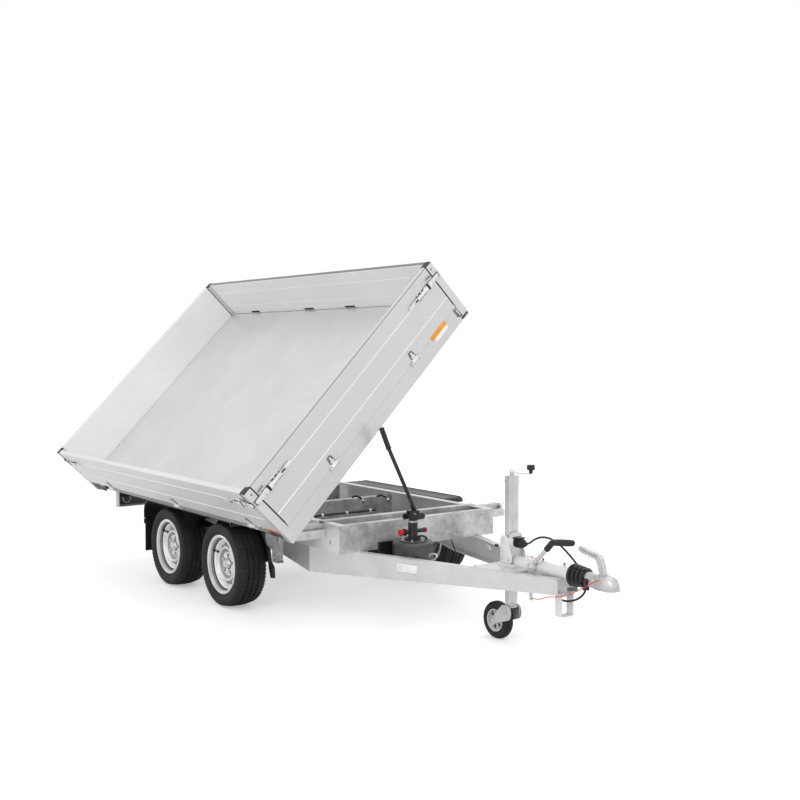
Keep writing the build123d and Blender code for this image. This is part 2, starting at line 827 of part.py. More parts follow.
def build_cylinder():
    ey, ez = tipped_eye()
    lean = degrees(atan2(-ey, ez - trunnion_z))
    long = hypot(ey, ez - trunnion_z)
    short = eye_z - trunnion_z
    stroke = (long - short) / stage_count

    def leaned(shape):
        return shape.rotate(Axis((bed_x, 0, trunnion_z), (1, 0, 0)), lean)

    z0, z1 = trunnion_z - barrel_below, trunnion_z + barrel_above
    radius = barrel_r - barrel_wall
    barrel = along_z(bed_x, 0, z0, z1, barrel_r)
    barrel = fillet(barrel.edges().group_by(Axis.Z)[0], barrel_wall)
    barrel = barrel - along_z(bed_x, 0, z0 + 2 * barrel_wall, z1 + 1, radius)
    ring = along_z(bed_x, 0, trunnion_z - 20, trunnion_z + 20, barrel_r + 10)
    ring = ring - along_z(bed_x, 0, trunnion_z - 21, trunnion_z + 21, barrel_r - 1)
    pins = []
    for side in (1, -1):
        root, tip = bed_x + side * (barrel_r + 5), bed_x + side * (barrel_r + trunnion_gap + 8)
        pins.append(along_x(min(root, tip), max(root, tip), 0, trunnion_z, trunnion_pin_r))
    write("cylinder_barrel", leaned(barrel + ring + pins[0] + pins[1]))
    for k in range(stage_count):
        outer = radius - k * stage_step_r - pin_clearance
        top = z1 + stage_show + k * stage_rise + stroke * (k + 1)
        bottom = top - stage_length
        stage = along_z(bed_x, 0, bottom, top, outer)
        if k < stage_count - 1:
            stage = stage - along_z(bed_x, 0, bottom - 1, top + 1, radius - (k + 1) * stage_step_r)
        else:
            end = trunnion_z + long
            half = fork_inside - 4
            stage = stage + along_z(bed_x, 0, top - 1, end - eye_bore_r - 4, neck_r)
            stage = stage + along_x(bed_x - half, bed_x + half, 0, end, eye_ring_r)
            stage = stage - along_x(bed_x - half - 1, bed_x + half + 1, 0, end, eye_bore_r)
        write(f"cylinder_stage_{k + 1}", leaned(stage))
    print("cylinder lean", round(lean, 3), "stroke", round(stroke, 3), "long", round(long, 3))


# Mudguards


def guard_outline(inset):
    """Side outline of the mudguard moved inwards by inset, with its rear corner rounded."""
    low = flap_low - 50
    rear = -axle_spacing / 2 - guard_rear + inset
    front = axle_spacing / 2 + guard_front - inset
    top = guard_top - inset
    bend = guard_corner - inset
    nose = guard_corner / 3 - inset
    with BuildSketch() as outline:
        with BuildLine():
            Polyline((rear, top - bend), (rear, low), (front, low), (front, top - nose))
            RadiusArc((front, top - nose), (front - nose, top), -nose)
            Line((front - nose, top), (rear + bend, top))
            RadiusArc((rear + bend, top), (rear, top - bend), -bend)
        make_face()
    return outline.sketch


def guard_band(inner, outer, y0, y1):
    """Sheet between two insets of the outline, from y0 to y1."""
    plane = Plane(origin=(0, y0, 0), x_dir=(1, 0, 0), z_dir=(0, -1, 0))
    ring = guard_outline(outer) - guard_outline(inner)
    return extrude(plane * ring, amount=y1 - y0, dir=(0, 1, 0))


def mudguard():
    """Left tandem mudguard with its rolled outer lip, inner front strip and rear flap."""
    y0, y1 = guard_inner_y, guard_outer_y
    rear, front = -axle_spacing / 2 - guard_rear, axle_spacing / 2 + guard_front
    skin = guard_band(guard_sheet, 0, y0, y1) + guard_band(guard_lip, 0, y1 - guard_sheet, y1)
    swages = [guard_band(guard_sheet - 1, -1.5, y, y + 10) for y in (y0 + 50, y1 - 60)]
    skin = skin + swages[0] + swages[1]
    below = block(rear - 10, 0, y0 - 1, y1 + 1, 0, guard_rear_low)
    below = below + block(-1, front + 10, y0 - 1, y1 + 1, 0, guard_front_low)
    skin = skin - below
    flap_x = rear + guard_sheet
    flap = block(flap_x, flap_x + flap_thick, y0 + 8, y1 - 8, flap_low, guard_rear_low + 30)
    # The strip follows the front wheel down on its inner side and ends in a toe turned forwards
    x = axle_spacing / 2
    outer = strip_r + strip_thick
    ring = along_y(x, y0, y0 + strip_width, tyre_r, outer) - along_y(x, y0 - 1, y1, tyre_r, strip_r)
    strip = ring & block(x, x + outer + 1, y0, y0 + strip_width, strip_low, guard_top - 1)
    bend_x = x + (strip_r**2 - (strip_low - tyre_r) ** 2) ** 0.5
    toe = [
        (bend_x, strip_low + 2), (bend_x + 6, strip_low - 40), (strip_toe_x - 20, strip_toe_z),
        (strip_toe_x, strip_toe_z), (strip_toe_x - 6, strip_low - 34),
        (bend_x + strip_thick + 1, strip_low + 2),
    ]
    return skin + flap + strip + side_plate(toe, y0, y0 + strip_width)


def guard_brackets():
    """Flat steel brackets from the side beams to the undersides of the mudguards."""
    under = guard_top - guard_sheet
    wall = guard_sheet
    brackets = []
    for x in (-axle_spacing * 0.4, 0, axle_spacing * 0.4):
        half = arm_narrow * 0.66
        arm = block(x - half, x + half, frame_half_width, guard_inner_y + 40, under - wall, under)
        web = [
            (frame_half_width, under - 60), (frame_half_width + wall, under - 60),
            (guard_inner_y, under - wall), (frame_half_width, under - wall),
        ]
        arm = arm + cross_plate(web, x - wall / 2, x + wall / 2)
        arm = arm + block(x - half, x + half, frame_half_width, frame_half_width + wall, under - 60, under)
        brackets += [arm, mirrored(arm)]
    return brackets


def guard_front_plates():
    """Folded plates ahead of the mudguards, each on an arm from its side beam."""
    x1 = front_plate_x
    y1 = front_plate_y
    wall = guard_sheet
    top, step, low = frame_top - 92, frame_bottom - 11, frame_bottom - 83
    outline = [
        (x1 - 132, top), (x1, top), (x1, low), (x1 - 53, low), (x1 - 53, step), (x1 - 84, step),
        (x1 - 112, step + 12), (x1 - 128, step + 36),
    ]
    plate = side_plate(outline, y1 - wall, y1)
    flange = block(x1 - wall, x1, y1 - 43, y1, low, top)
    arm = block(x1 - 57, x1, frame_half_width, y1, top - wall, top)
    arm = arm + block(x1 - wall, x1, frame_half_width, y1, top - 40, top)
    piece = plate + flange + arm
    return [piece, mirrored(piece)]


# Jack


def build_jack():
    x0, x1 = mast_x - mast_size_x / 2, mast_x + mast_size_x / 2
    hy = mast_size_y / 2
    wall = mast_wall
    mast = block(x0, x1, -hy, hy, mast_foot, mast_top)
    mast = fillet(mast.edges().filter_by(Axis.Z), wall + 1)
    mast = mast - block(x0 + wall, x1 - wall, wall - hy, hy - wall, mast_foot - 1, mast_top - 2 * wall)
    # Shallow grooves along the front face
    for y in (-12, 12):
        mast = mast - block(x1 - 1, x1 + 1, y - 3, y + 3, mast_foot - 1, mast_top + 1)
    write("jack_mast", mast)
    seat = frame_bottom + gusset_plate
    room = block(x0 - fit, x1 + fit, -hy - fit, hy + fit, seat - 1, clamp_top + 1)
    clamp = block(x0 - 10, x1 + 12, -hy - 12, hy + 12, seat, clamp_top)
    clamp = fillet(clamp.edges().filter_by(Axis.Z), 6)
    window = block(x0 + 6, x1 - 6, -hy - 13, -hy - 1, seat + 40, clamp_top - 35)
    bolts = along_y(mast_x - 2, hy + 11, hy + 30, clamp_top - 24, 7)
    foot = block(x0 - 30, x1 + 60, -hy - 36, hy + 36, seat, seat + 6)
    foot = fillet(foot.edges().filter_by(Axis.Z), 12)
    cup_x = x1 + 12
    cup = along_x(cup_x, cup_x + 28, plug_y, plug_z, plug_r + 5)
    cup = cup - along_x(cup_x + 8, cup_x + 29, plug_y, plug_z, plug_r + fit)
    write("jack_clamp", clamp + foot - room - window + bolts + cup)
    handle_z = mast_top + 16
    knob_x = mast_x + 105
    crank = along_z(mast_x, 0, mast_top, handle_z + 6, 9)
    crank = crank + block(mast_x - 9, knob_x + 10, -8, 8, handle_z, handle_z + 6)
    crank = crank + along_z(knob_x, 0, handle_z, handle_z + 20, 8)
    knob = along_z(knob_x, 0, handle_z + 20, handle_z + 50, 18)
    write("jack_crank", crank + fillet(knob.edges(), 6))
    lx = mast_size_x / 2 - wall - leg_clearance
    ly = hy - wall - leg_clearance
    stem_top = leg_bottom + 10
    leg = block(mast_x - lx, mast_x + lx, -ly, ly, leg_bottom, leg_top)
    leg = leg - block(mast_x - lx + 3, mast_x + lx - 3, 3 - ly, ly - 3, stem_top, leg_top + 1)
    leg = leg + along_z(mast_x, 0, leg_bottom - stem_long, leg_bottom, 26)
    leg = leg - along_z(mast_x, 0, leg_bottom - stem_long - 1, leg_bottom - 2, swivel_r + pin_clearance)
    write("jack_leg", leg)
    # Caster fork, with its swivel pin up in the leg
    crown = leg_bottom - stem_long - 0.5
    fork = along_z(mast_x, 0, crown - 8, crown, 32)
    fork = fork + along_z(mast_x, 0, crown - 1, leg_bottom - 4, swivel_r)
    fork_y = jockey_width / 2 + 4
    fork_end = 20.0
    cheek = [
        (mast_x + 30, crown), (mast_x - 34, crown), (jockey_x - fork_end + 3, jockey_r + 8),
        (jockey_x + fork_end - 5, jockey_r - 12), (mast_x + 26, crown - 50),
    ]
    plate = side_plate(cheek, fork_y, fork_y + 5) + along_y(jockey_x, fork_y, fork_y + 5, jockey_r, fork_end)
    plate = plate + block(mast_x - 20, mast_x + 20, 20, fork_y + 1, crown - 8, crown)
    fork = fork + plate + mirrored(plate)
    fork = fork + along_y(jockey_x, -fork_y - 5, fork_y + 5, jockey_r, jockey_pin_r)
    write("jockey_fork", fork)
    wheel = tyre(jockey_r, jockey_width, jockey_rim_r, 22, jockey_rim_r + 4, 7)
    write("jockey_tyre", Pos(jockey_x, 0, jockey_r) * wheel)
    bore = jockey_pin_r + pin_clearance
    seat_r, well_r = jockey_rim_r - fit, jockey_rim_r - 8
    half = jockey_width / 2
    half_rim = [
        (bore, half), (14, half), (16, 6), (well_r, 6), (well_r, half - 6), (seat_r, half - 6),
    ]
    rim_outline = half_rim + [(r, -y) for r, y in half_rim[::-1]]
    write("jockey_rim", Pos(jockey_x, 0, jockey_r) * ring_of(rim_outline))


# Overrun device and coupling


def overrun_housing():
    """White tube on two cross webs between the drawbar beams, with its folded steel foot."""
    tube = along_x(tube_rear_x, tube_front_x, 0, tube_z, tube_r)
    collar = along_x(tube_front_x - 16, tube_front_x, 0, tube_z, tube_r + 6)
    bore = along_x(tube_rear_x + 20, tube_front_x + 1, 0, tube_z, rod_r + 1)
    housing = tube + collar - bore
    # The webs end just short of the slanting inner faces of the drawbar beams
    slant = hypot(1, drawbar_slope)
    for x in web_places:
        half = drawbar_half(x + web_half + 2) - drawbar_plate * slant - 0.5
        housing = housing + block(x - web_half, x + web_half, -half, half, web_bottom, web_top)
        saddle = block(x - web_half, x + web_half, -22, 22, web_top - 2, web_top + 6)
        housing = housing + saddle
    housing = housing + along_x(gland_x, gland_x + 10, 0, gland_z, 10)
    hoop = block(foot_x, foot_x + foot_long, -foot_half, foot_half, foot_bottom, foot_top)
    hoop = fillet(hoop.edges().filter_by(Axis.X).group_by(Axis.Z)[0], 2 * foot_plate)
    inside = foot_half - foot_plate
    low, high = foot_bottom + foot_plate, foot_top - foot_plate
    opening = block(foot_x - 1, foot_x + foot_long + 1, -inside, inside, low, high)
    opening = fillet(opening.edges().filter_by(Axis.X).group_by(Axis.Z)[0], foot_plate)
    post = block(foot_x, foot_x + web_half, -30, 30, foot_top - foot_plate, web_bottom + 2)
    return housing + hoop - opening + post


def bellows():
    """Rubber gaiter of tapering folds between the housing and the coupling head."""
    start, end = tube_front_x + fit, bellows_front_x - fit
    pitch = (end - start) / bellows_rings
    outline = [(start, rod_r + 2)]
    for k in range(bellows_rings):
        x = start + k * pitch
        top = bellows_r - k * 3
        if k == 0:
            outline.append((x, top - 14))
        outline += [(x + pitch * 0.35, top), (x + pitch * 0.65, top), (x + pitch, top - 15.5)]
    outline.append((end, rod_r + 2))
    face = make_face(Polyline(*outline, close=True))
    return Pos(0, 0, tube_z) * revolve(face, axis=Axis.X)


def coupling_handle():
    """Cast lever that rises from the head and reaches back, with pockets between its ribs."""
    corners = [(-46, 31), (-14, 31), (-40, 117), (-56, 133), (-180, 157), (-184, 135), (-74, 113)]
    lever = side_plate([(ball_x + x, ball_z + z) for x, z in corners], -handle_half, handle_half)
    grip_fall = (157 - 133) / (180 - 56)
    pockets = 4
    pitch = 27.0
    for k in range(pockets):
        x0 = -174 + k * pitch
        x1 = x0 + pitch - 5
        middle = [150 - (x + 174) * grip_fall for x in (x0, x1)]
        pocket = [
            (ball_x + x0, ball_z + middle[0] - 6), (ball_x + x1, ball_z + middle[1] - 6),
            (ball_x + x1, ball_z + middle[1] + 2), (ball_x + x0, ball_z + middle[0] + 2),
        ]
        for side in (1, -1):
            y0, y1 = sorted((side * handle_web, side * (handle_half + 1)))
            lever = lever - side_plate(pocket, y0, y1)
    return lever


def coupling_head():
    """Casting around the ball, with its draw rod, neck and handle."""
    rod = along_x(tube_rear_x + 60, bellows_front_x + 28, 0, tube_z, rod_r)
    neck = along_x(bellows_front_x, ball_x - 56, 0, tube_z, rod_r + 6)
    skirt_z = ball_z - coupling_skirt
    dome_z = ball_z + 3
    head = along_z(ball_x, 0, skirt_z, dome_z, socket_r)
    dome = Pos(ball_x, 0, dome_z) * Sphere(socket_r)
    dome = dome & block(ball_x - 50, ball_x + 50, -50, 50, dome_z, dome_z + 60)
    # The body swells from the neck to the socket
    swell = []
    for x, z, wide, tall, corner in ((ball_x - 92, tube_z, 54, 54, 20), (ball_x - 6, ball_z + 4, 70, 62, 14)):
        across = Plane(origin=(x, 0, z), x_dir=(0, 1, 0), z_dir=(1, 0, 0))
        swell.append(across * RectangleRounded(wide, tall, corner))
    body = loft(swell)
    lip = along_z(ball_x, 0, skirt_z, skirt_z + 8, 58)
    lip = lip & block(ball_x - 40, ball_x + 62, -socket_r, socket_r, skirt_z - 1, skirt_z + 9)
    pivot = along_y(ball_x - 34, -socket_r + 2, socket_r - 2, ball_z + 26, 12)
    head = rod + neck + head + dome + body + lip + pivot + coupling_handle()
    head = head - along_z(ball_x, 0, skirt_z - 1, dome_z, ball_bore_r)
    return head - Pos(ball_x, 0, dome_z) * Sphere(ball_bore_r)


def build_overrun():
    write("overrun_housing", overrun_housing())
    write("bellows", bellows())
    write("coupling_head", coupling_head())


def build_handbrake():
    """Bent lever with its grip, its pivot beside the housing and the lower arm for the brake rod."""
    y = -45.0
    foot = tube_rear_x + 18
    bend = (foot + 129, y, 574)
    elbow = (foot + 153, y, 600)
    lever = rod_between((foot, y, 454), bend, 11) + Pos(*bend) * Sphere(13)
    lever = lever + rod_between(bend, elbow, 13) + Pos(*elbow) * Sphere(13)
    lever = lever + rod_between(elbow, (foot + 292, y, 617), 14)
    lever = lever + along_y(foot + 4, y - 8, y + 8, 450, 20)
    lug = block(foot - 12, foot + 18, y - 6, -tube_r - fit, 440, 452)
    arm = [
        (foot - 10, 450), (foot + 18, 450), (brake_arm_x, 330), (brake_arm_x, 276),
        (brake_arm_x - 14, 276), (brake_arm_x - 16, 330),
    ]
    write("handbrake_lever", lever + lug + side_plate(arm, y - 16, y - 5))


# Hydraulic pump


def build_pump():
    tank = along_z(tank_x, tank_y, tank_bottom, tank_top, tank_r)
    tank = fillet(tank.edges().filter_by(GeomType.CIRCLE), tank_edge)
    tank = tank + along_z(tank_x, tank_y, tank_top - 1, tank_top + 6, tank_r - 40)
    write("oil_tank", tank)
    wide = tank_r + 32
    low, high = tank_bottom + 20, tank_top - 10
    bracket = block(frame_front_x, tank_x - tank_r - 0.5, tank_y - wide, tank_y + wide, low, high)
    write("tank_bracket", bracket)
    # Pump body, its cross barrel with the two valve stems, collar and lever socket
    deck, collar = tank_top + 6, tank_top + 109
    head = pump_top - 45
    body = along_z(tank_x, tank_y, deck, deck + 12, 44) + along_z(tank_x, tank_y, deck, collar, 28)
    body = body + along_y(tank_x, tank_y - 55, tank_y + 80, deck + 50, 12)
    body = body + along_y(tank_x, tank_y - 78, tank_y - 55, deck + 50, 16)
    body = body + along_z(tank_x, tank_y, collar, head, 20)
    body = body + along_z(tank_x, tank_y, collar + 4, collar + 12, 26)
    socket = (tank_x - 26, tank_x + 26, tank_y - 30, tank_y + 34)
    shell = block(*socket, head, pump_top)
    body = body + fillet(shell.edges().filter_by(Axis.Z), 8)
    write("hand_pump", body)
    # The lever leans out to the right
    low = (tank_x, -151, pump_top)
    middle, tip = (tank_x, -338, pump_top + 369), (tank_x, -386, pump_top + 480)
    lever = rod_between(low, middle, 11) + rod_between(middle, tip, 14)
    write("pump_lever", lever - block(*socket, head - 10, pump_top))


# Electrical plug and the loose cables


def tube_along(points, radius):
    """Round tube on straight runs joined by tangent arcs."""
    vectors = [Vector(*p) for p in points]
    radii = []
    for a, b, c in zip(vectors, vectors[1:], vectors[2:]):
        short = min((b - a).length, (c - b).length)
        turn = radians((b - a).get_angle(c - b))
        radii.append(0.45 * short / tan(turn / 2))
    print("radii", [round(r) for r in radii])
    path = FilletPolyline(*vectors, radius=radii)
    start = Plane(origin=vectors[0], z_dir=vectors[1] - vectors[0])
    piece = sweep(start * Circle(radius), path=path)
    print("tube volume share", round(piece.volume / (pi * radius**2 * path.length), 4))
    return piece


gland_x = web_places[0] + web_half
gland_z = 376.0
brake_arm_x = tube_rear_x + 34
plug_y = -20.0
plug_z = 556.0
plug_r = 21.0
plug_start = mast_x + mast_size_x / 2 + 20
plug_end = plug_start + 85
cable_r = 5.5
cable_points = [
    (plug_end, plug_y, plug_z),
    (plug_end + 34, plug_y, plug_z),
    (2240, -18, 578),
    (2282, -8, 606),
    (2334, 12, 606),
    (2376, 36, 576),
    (2412, 62, 532),
    (2446, 84, 486),
    (2478, 98, 442),
    (2502, 102, 398),
    (2514, 88, 354),
    (2512, 52, 322),
    (2492, 12, 306),
    (2456, -12, 302),
    (2412, -14, 314),
    (2370, -6, 352),
    (2340, 0, gland_z),
    (gland_x + 10, 0, gland_z),
]
breakaway_r = 2.5
breakaway_points = [
    (2712, -34, 455),
    (2712, -52, 455),
    (2698, -68, 444),
    (2664, -80, 420),
    (2606, -89, 386),
    (2548, -92, 356),
    (2490, -90, 340),
    (2430, -80, 330),
    (2370, -66, 312),
    (2312, -56, 288),
    (brake_arm_x, -56, 288),
]


def build_cables():
    plug = along_x(plug_start + 0.5, plug_start + 60, plug_y, plug_z, plug_r)
    plug = plug + along_x(plug_start + 21, plug_start + 62, plug_y, plug_z, plug_r + 4)
    plug = plug + along_x(plug_start + 62, plug_end, plug_y, plug_z, 10)
    write("plug", plug)
    write("plug_cable", tube_along(cable_points, cable_r))
    write("breakaway_cable", tube_along(breakaway_points, breakaway_r))


def build_lamps():
    x1 = frame_rear_x - rear_beam_depth
    x0 = x1 - lamp_deep
    y1 = rear_beam_half_width - 25
    lamp = block(x0, x1, y1 - lamp_wide, y1, rear_beam_bottom + 8, rear_beam_top - 8)
    lamp = fillet(lamp.edges().filter_by(Axis.X), 10)
    lamp = fillet(lamp.edges().group_by(Axis.X)[0], 6)
    write("rear_lamps", solids_of(lamp, mirrored(lamp)))


def main():
    os.makedirs("parts", exist_ok=True)
    write("side_beam_left", side_beam())
    write("side_beam_right", mirrored(side_beam()))
    write("front_cross_member", front_cross_member())
    write("front_bearing_bar", front_bearing_bar())
    write("rear_bearing_beam", rear_bearing_beam())
    write("cross_members", solids_of(*cross_members()))
    write("cylinder_cradle", cylinder_cradle())
    left = drawbar_side()
    write("drawbar_left", left)
    write("drawbar_right", mirrored(left))
    write("drawbar_gusset", drawbar_gusset())
    write("axle_front", axle(axle_spacing / 2))
    write("axle_rear", axle(-axle_spacing / 2))
    write("mudguard_brackets", solids_of(*guard_brackets()))
    write("mudguard_front_plates", solids_of(*guard_front_plates()))
    guard = mudguard()
    write("mudguard_left", guard)
    write("mudguard_right", mirrored(guard))
    one_tyre = tyre(tyre_r, tyre_width, bead_r, rim_width / 2 - 6.5, rim_flange_r + 2, 9)
    left_rim = rim()
    for end, x in (("front", axle_spacing / 2), ("rear", -axle_spacing / 2)):
        for side, y in (("left", wheel_y), ("right", -wheel_y)):
            place = Pos(x, y, tyre_r)
            write(f"tyre_{end}_{side}", place * one_tyre)
            write(f"rim_{end}_{side}", place * (left_rim if y > 0 else mirrored(left_rim)))
    build_bed()
    build_cylinder()
    build_jack()
    build_overrun()
    build_handbrake()
    build_pump()
    build_cables()
    build_lamps()


main()
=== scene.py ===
import json
from math import atan2, cos, pi, radians, sin

import bmesh
import bpy
from mathutils import Matrix, Vector


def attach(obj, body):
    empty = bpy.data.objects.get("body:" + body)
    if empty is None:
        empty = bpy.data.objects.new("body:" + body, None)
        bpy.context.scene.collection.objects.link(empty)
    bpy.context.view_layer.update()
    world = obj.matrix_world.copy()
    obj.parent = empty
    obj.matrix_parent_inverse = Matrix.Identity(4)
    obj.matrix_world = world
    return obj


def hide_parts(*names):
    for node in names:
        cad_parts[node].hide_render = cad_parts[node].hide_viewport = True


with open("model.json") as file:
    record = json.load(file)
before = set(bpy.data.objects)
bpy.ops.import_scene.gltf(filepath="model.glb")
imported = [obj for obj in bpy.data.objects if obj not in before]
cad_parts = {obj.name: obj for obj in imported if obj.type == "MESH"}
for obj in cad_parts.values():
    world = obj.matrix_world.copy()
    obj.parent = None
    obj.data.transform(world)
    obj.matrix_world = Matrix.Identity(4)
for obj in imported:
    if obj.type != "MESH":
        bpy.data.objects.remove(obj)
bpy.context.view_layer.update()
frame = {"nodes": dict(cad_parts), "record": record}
nodes = frame["nodes"]

# Positions below are in millimetres from the ground point midway between the axles, as the
# layout of the solids is, and are moved to the coupling's frame in metres when a piece is made.
BALL = Vector((2746.0, 0.0, 439.0))
TIP = 45.7
PIVOT_Y, PIVOT_Z = -775.0, 556.0
BED_X, BED_HALF_L, BED_HALF_W = -128.0, 1422.0, 895.0
BED_BOTTOM, FOOT = 639.0, 95.0
FOOT_Z = BED_BOTTOM + FOOT

ALONG, ACROSS, UP = (1, 0, 0), (0, 1, 0), (0, 0, 1)


def moved(x, y, z):
    return Matrix.Translation((x, y, z))


def turned(angle, axis):
    return Matrix.Rotation(angle, 4, axis)


GROUND = Matrix.Scale(0.001, 4) @ moved(*-BALL)
TIPPED = GROUND @ moved(0, PIVOT_Y, PIVOT_Z) @ turned(radians(TIP), "X") @ moved(0, -PIVOT_Y, -PIVOT_Z)
# Foot of each board: X points outward and Y along the board
SIDES = {
    side: TIPPED @ moved(BED_X + x, y, FOOT_Z) @ turned(angle, "Z")
    for side, x, y, angle in (
        ("front", BED_HALF_L, 0, 0),
        ("rear", -BED_HALF_L, 0, pi),
        ("left", 0, BED_HALF_W, pi / 2),
        ("right", 0, -BED_HALF_W, -pi / 2),
    )
}


# Camera

scene = bpy.context.scene
scene.view_settings.view_transform = "Standard"
azimuth, elevation = radians(53.3), radians(2.8)
level = cos(elevation)
back = Vector((sin(azimuth) * level, -cos(azimuth) * level, sin(elevation)))
camera = bpy.data.objects.new("camera", bpy.data.cameras.new("camera"))
camera.data.lens = 49.3
camera.data.sensor_width = 36.0
camera.location = (3.6488, -3.9918, 1.1626)
camera.rotation_euler = back.to_track_quat("Z", "Y").to_euler()
scene.collection.objects.link(camera)
scene.camera = camera


# Materials


def grey(value):
    """Linear value of an sRGB level from 0 to 255."""
    v = value / 255
    return v / 12.92 if v <= 0.04045 else ((v + 0.055) / 1.055) ** 2.4


def colour(tone):
    """Linear colour of one grey level, or of three sRGB levels."""
    levels = tone if isinstance(tone, tuple) else (tone, tone, tone)
    return tuple(grey(level) for level in levels) + (1.0,)


def shader(tree, kind, *sources, **values):
    """Adds a node with these input values, and links the sources to its inputs in order."""
    made = tree.nodes.new("ShaderNode" + kind)
    for key, value in values.items():
        made.inputs[key].default_value = value
    for source, socket in zip(sources, made.inputs):
        tree.links.new(source, socket)
    return made


class Look:
    """Builds one procedural material; textures use the frame's own coordinates in metres."""

    def __init__(self, name, base, rough, metal=0.0):
        self.mat = bpy.data.materials.new(name)
        self.mat.use_nodes = True
        self.tree = self.mat.node_tree
        self.bsdf = self.tree.nodes["Principled BSDF"]
        self.bsdf.inputs["Base Color"].default_value = base
        self.bsdf.inputs["Roughness"].default_value = rough
        self.bsdf.inputs["Metallic"].default_value = metal
        self.coords = shader(self.tree, "TexCoord").outputs["Object"]

    def noise(self, scale, detail=3.0, rough=0.55, stretch=None):
        coords = self.coords
        if stretch:
            coords = shader(self.tree, "Mapping", coords, Scale=stretch).outputs["Vector"]
        node = shader(self.tree, "TexNoise", coords, Scale=scale, Detail=detail, Roughness=rough)
        return node.outputs["Fac"]

    def ramp(self, source, stops):
        """Colour ramp through (place, colour or share from 0 to 1)."""
        node = shader(self.tree, "ValToRGB", source)
        while len(node.color_ramp.elements) < len(stops):
            node.color_ramp.elements.new(0.5)
        for element, (place, value) in zip(node.color_ramp.elements, stops):
            element.position = place
            element.color = value if isinstance(value, tuple) else (value, value, value, 1)
        return node.outputs["Color"]

    def mix(self, a, b, share):
        """Mixes two colours; each of the three is a value or another node's output."""
        node = shader(self.tree, "Mix")
        node.data_type = "RGBA"
        for value, key in ((share, "Factor"), (a, "A"), (b, "B")):
            if isinstance(value, bpy.types.NodeSocket):
                self.tree.links.new(value, node.inputs[key])
            else:
                node.inputs[key].default_value = value
        return node.outputs["Result"]

    def paint(self, source):
        self.tree.links.new(source, self.bsdf.inputs["Base Color"])

    def rough(self, source, low, high):
        node = shader(self.tree, "MapRange", source, **{"To Min": low, "To Max": high})
        self.tree.links.new(node.outputs["Result"], self.bsdf.inputs["Roughness"])

    def bump(self, source, distance, strength):
        """Adds a bump on top of those already there."""
        node = shader(self.tree, "Bump", Strength=strength, Distance=distance)
        self.tree.links.new(source, node.inputs["Height"])
        normal = self.bsdf.inputs["Normal"]
        if normal.is_linked:
            self.tree.links.new(normal.links[0].from_socket, node.inputs["Normal"])
        self.tree.links.new(node.outputs["Normal"], normal)


def metal_look(name, dark, light, rough, spangle=40.0, mottle=7.0, metal=0.75, contrast=0.5):
    """Galvanised or bare metal: crystal cells, clouds of darker grey and fine grain."""
    look = Look(name, colour((dark + light) / 2), rough, metal)
    cells = shader(look.tree, "TexVoronoi", look.coords, Scale=spangle)
    clouds = look.ramp(look.noise(mottle, 5), ((0.32, colour(dark)), (0.68, colour(light))))
    cell_tone = look.ramp(cells.outputs["Color"], ((0.0, colour(dark)), (1.0, colour(light))))
    look.paint(look.mix(clouds, cell_tone, contrast))
    look.rough(look.noise(mottle * 4, 4), rough - 0.1, rough + 0.14)
    look.bump(cells.outputs["Distance"], 0.0004, 0.08)
    look.bump(look.noise(900, 2), 0.0002, 0.12)
    return look.mat


def anodised_look(name, tone, rough, along):
    """Pale extruded aluminium with long faint draw lines."""
    look = Look(name, colour(tone), rough, 0.55)
    stretch = tuple(1.0 if i == along else 240.0 for i in range(3))
    lines = look.noise(1.0, 4, 0.6, stretch)
    clouds = look.noise(1.7, 3)
    tint = look.ramp(clouds, ((0.3, colour(tone - 7)), (0.7, colour(tone + 5))))
    look.paint(look.mix(tint, look.ramp(lines, ((0.2, colour(tone - 10)), (0.8, colour(tone + 8)))), 0.4))
    look.rough(lines, rough - 0.05, rough + 0.08)
    look.bump(lines, 0.00025, 0.12)
    return look.mat


def plain_look(name, tone, rough, grain=600.0, depth=0.0002, metal=0.0, wear=None):
    """Paint, plastic or rubber with fine grain and patches of a paler or worn tone."""
    base = colour(tone)
    look = Look(name, base, rough, metal)
    clouds = look.noise(14, 5)
    worn = colour(wear) if wear else tuple(min(1.0, c * 1.35 + 0.004) for c in base[:3]) + (1.0,)
    look.paint(look.mix(base, worn, look.ramp(clouds, ((0.42, 0.0), (0.75, 1.0)))))
    look.rough(look.noise(60, 4), rough - 0.08, rough + 0.1)
    look.bump(look.noise(grain, 2), depth, 0.3)
    return look.mat


def rim_look(name, tone, rough, metal):
    return plain_look(name, tone, rough, 200, 0.00003, metal)


def chrome_look(name, tone, rough):
    look = Look(name, colour(tone), rough, 1.0)
    look.rough(look.noise(40, 3), rough, rough + 0.08)
    look.bump(look.noise(500, 2), 0.0001, 0.1)
    return look.mat


GALV = metal_look("galvanised", 206, 226, 0.46, spangle=60, mottle=5, contrast=0.25)
# Darker, mottled copy of the galvanised finish: painted shade for faces in shadow
GALV_SHADED = metal_look("galvanised_mottled_painted_shade", 112, 198, 0.42, mottle=8)
# Lighter copy of the galvanised finish: painted light for the right side beam, which lies in shade under the
# bed
GALV_PAINTED_LIGHT = metal_look("galvanised_painted_light", 240, 252, 0.46, spangle=60, mottle=5, contrast=0.25)
GALV_CLOUDED = metal_look("galvanised_clouded", 158, 232, 0.4, mottle=6, contrast=0.35)
ZINC = metal_look("zinc", 196, 228, 0.34, spangle=90, mottle=9, contrast=0.3)
BOARD_SIDE = anodised_look("board_long", 228, 0.38, 0)
# Lighter copies of the board finish for the inner faces: painted light, as these faces lie in shade
BOARD_SIDE_IN_LIT = anodised_look("board_long_inside_painted_light", 241, 0.42, 0)
BOARD_END_IN_LIT = anodised_look("board_cross_inside_painted_light", 246, 0.42, 1)
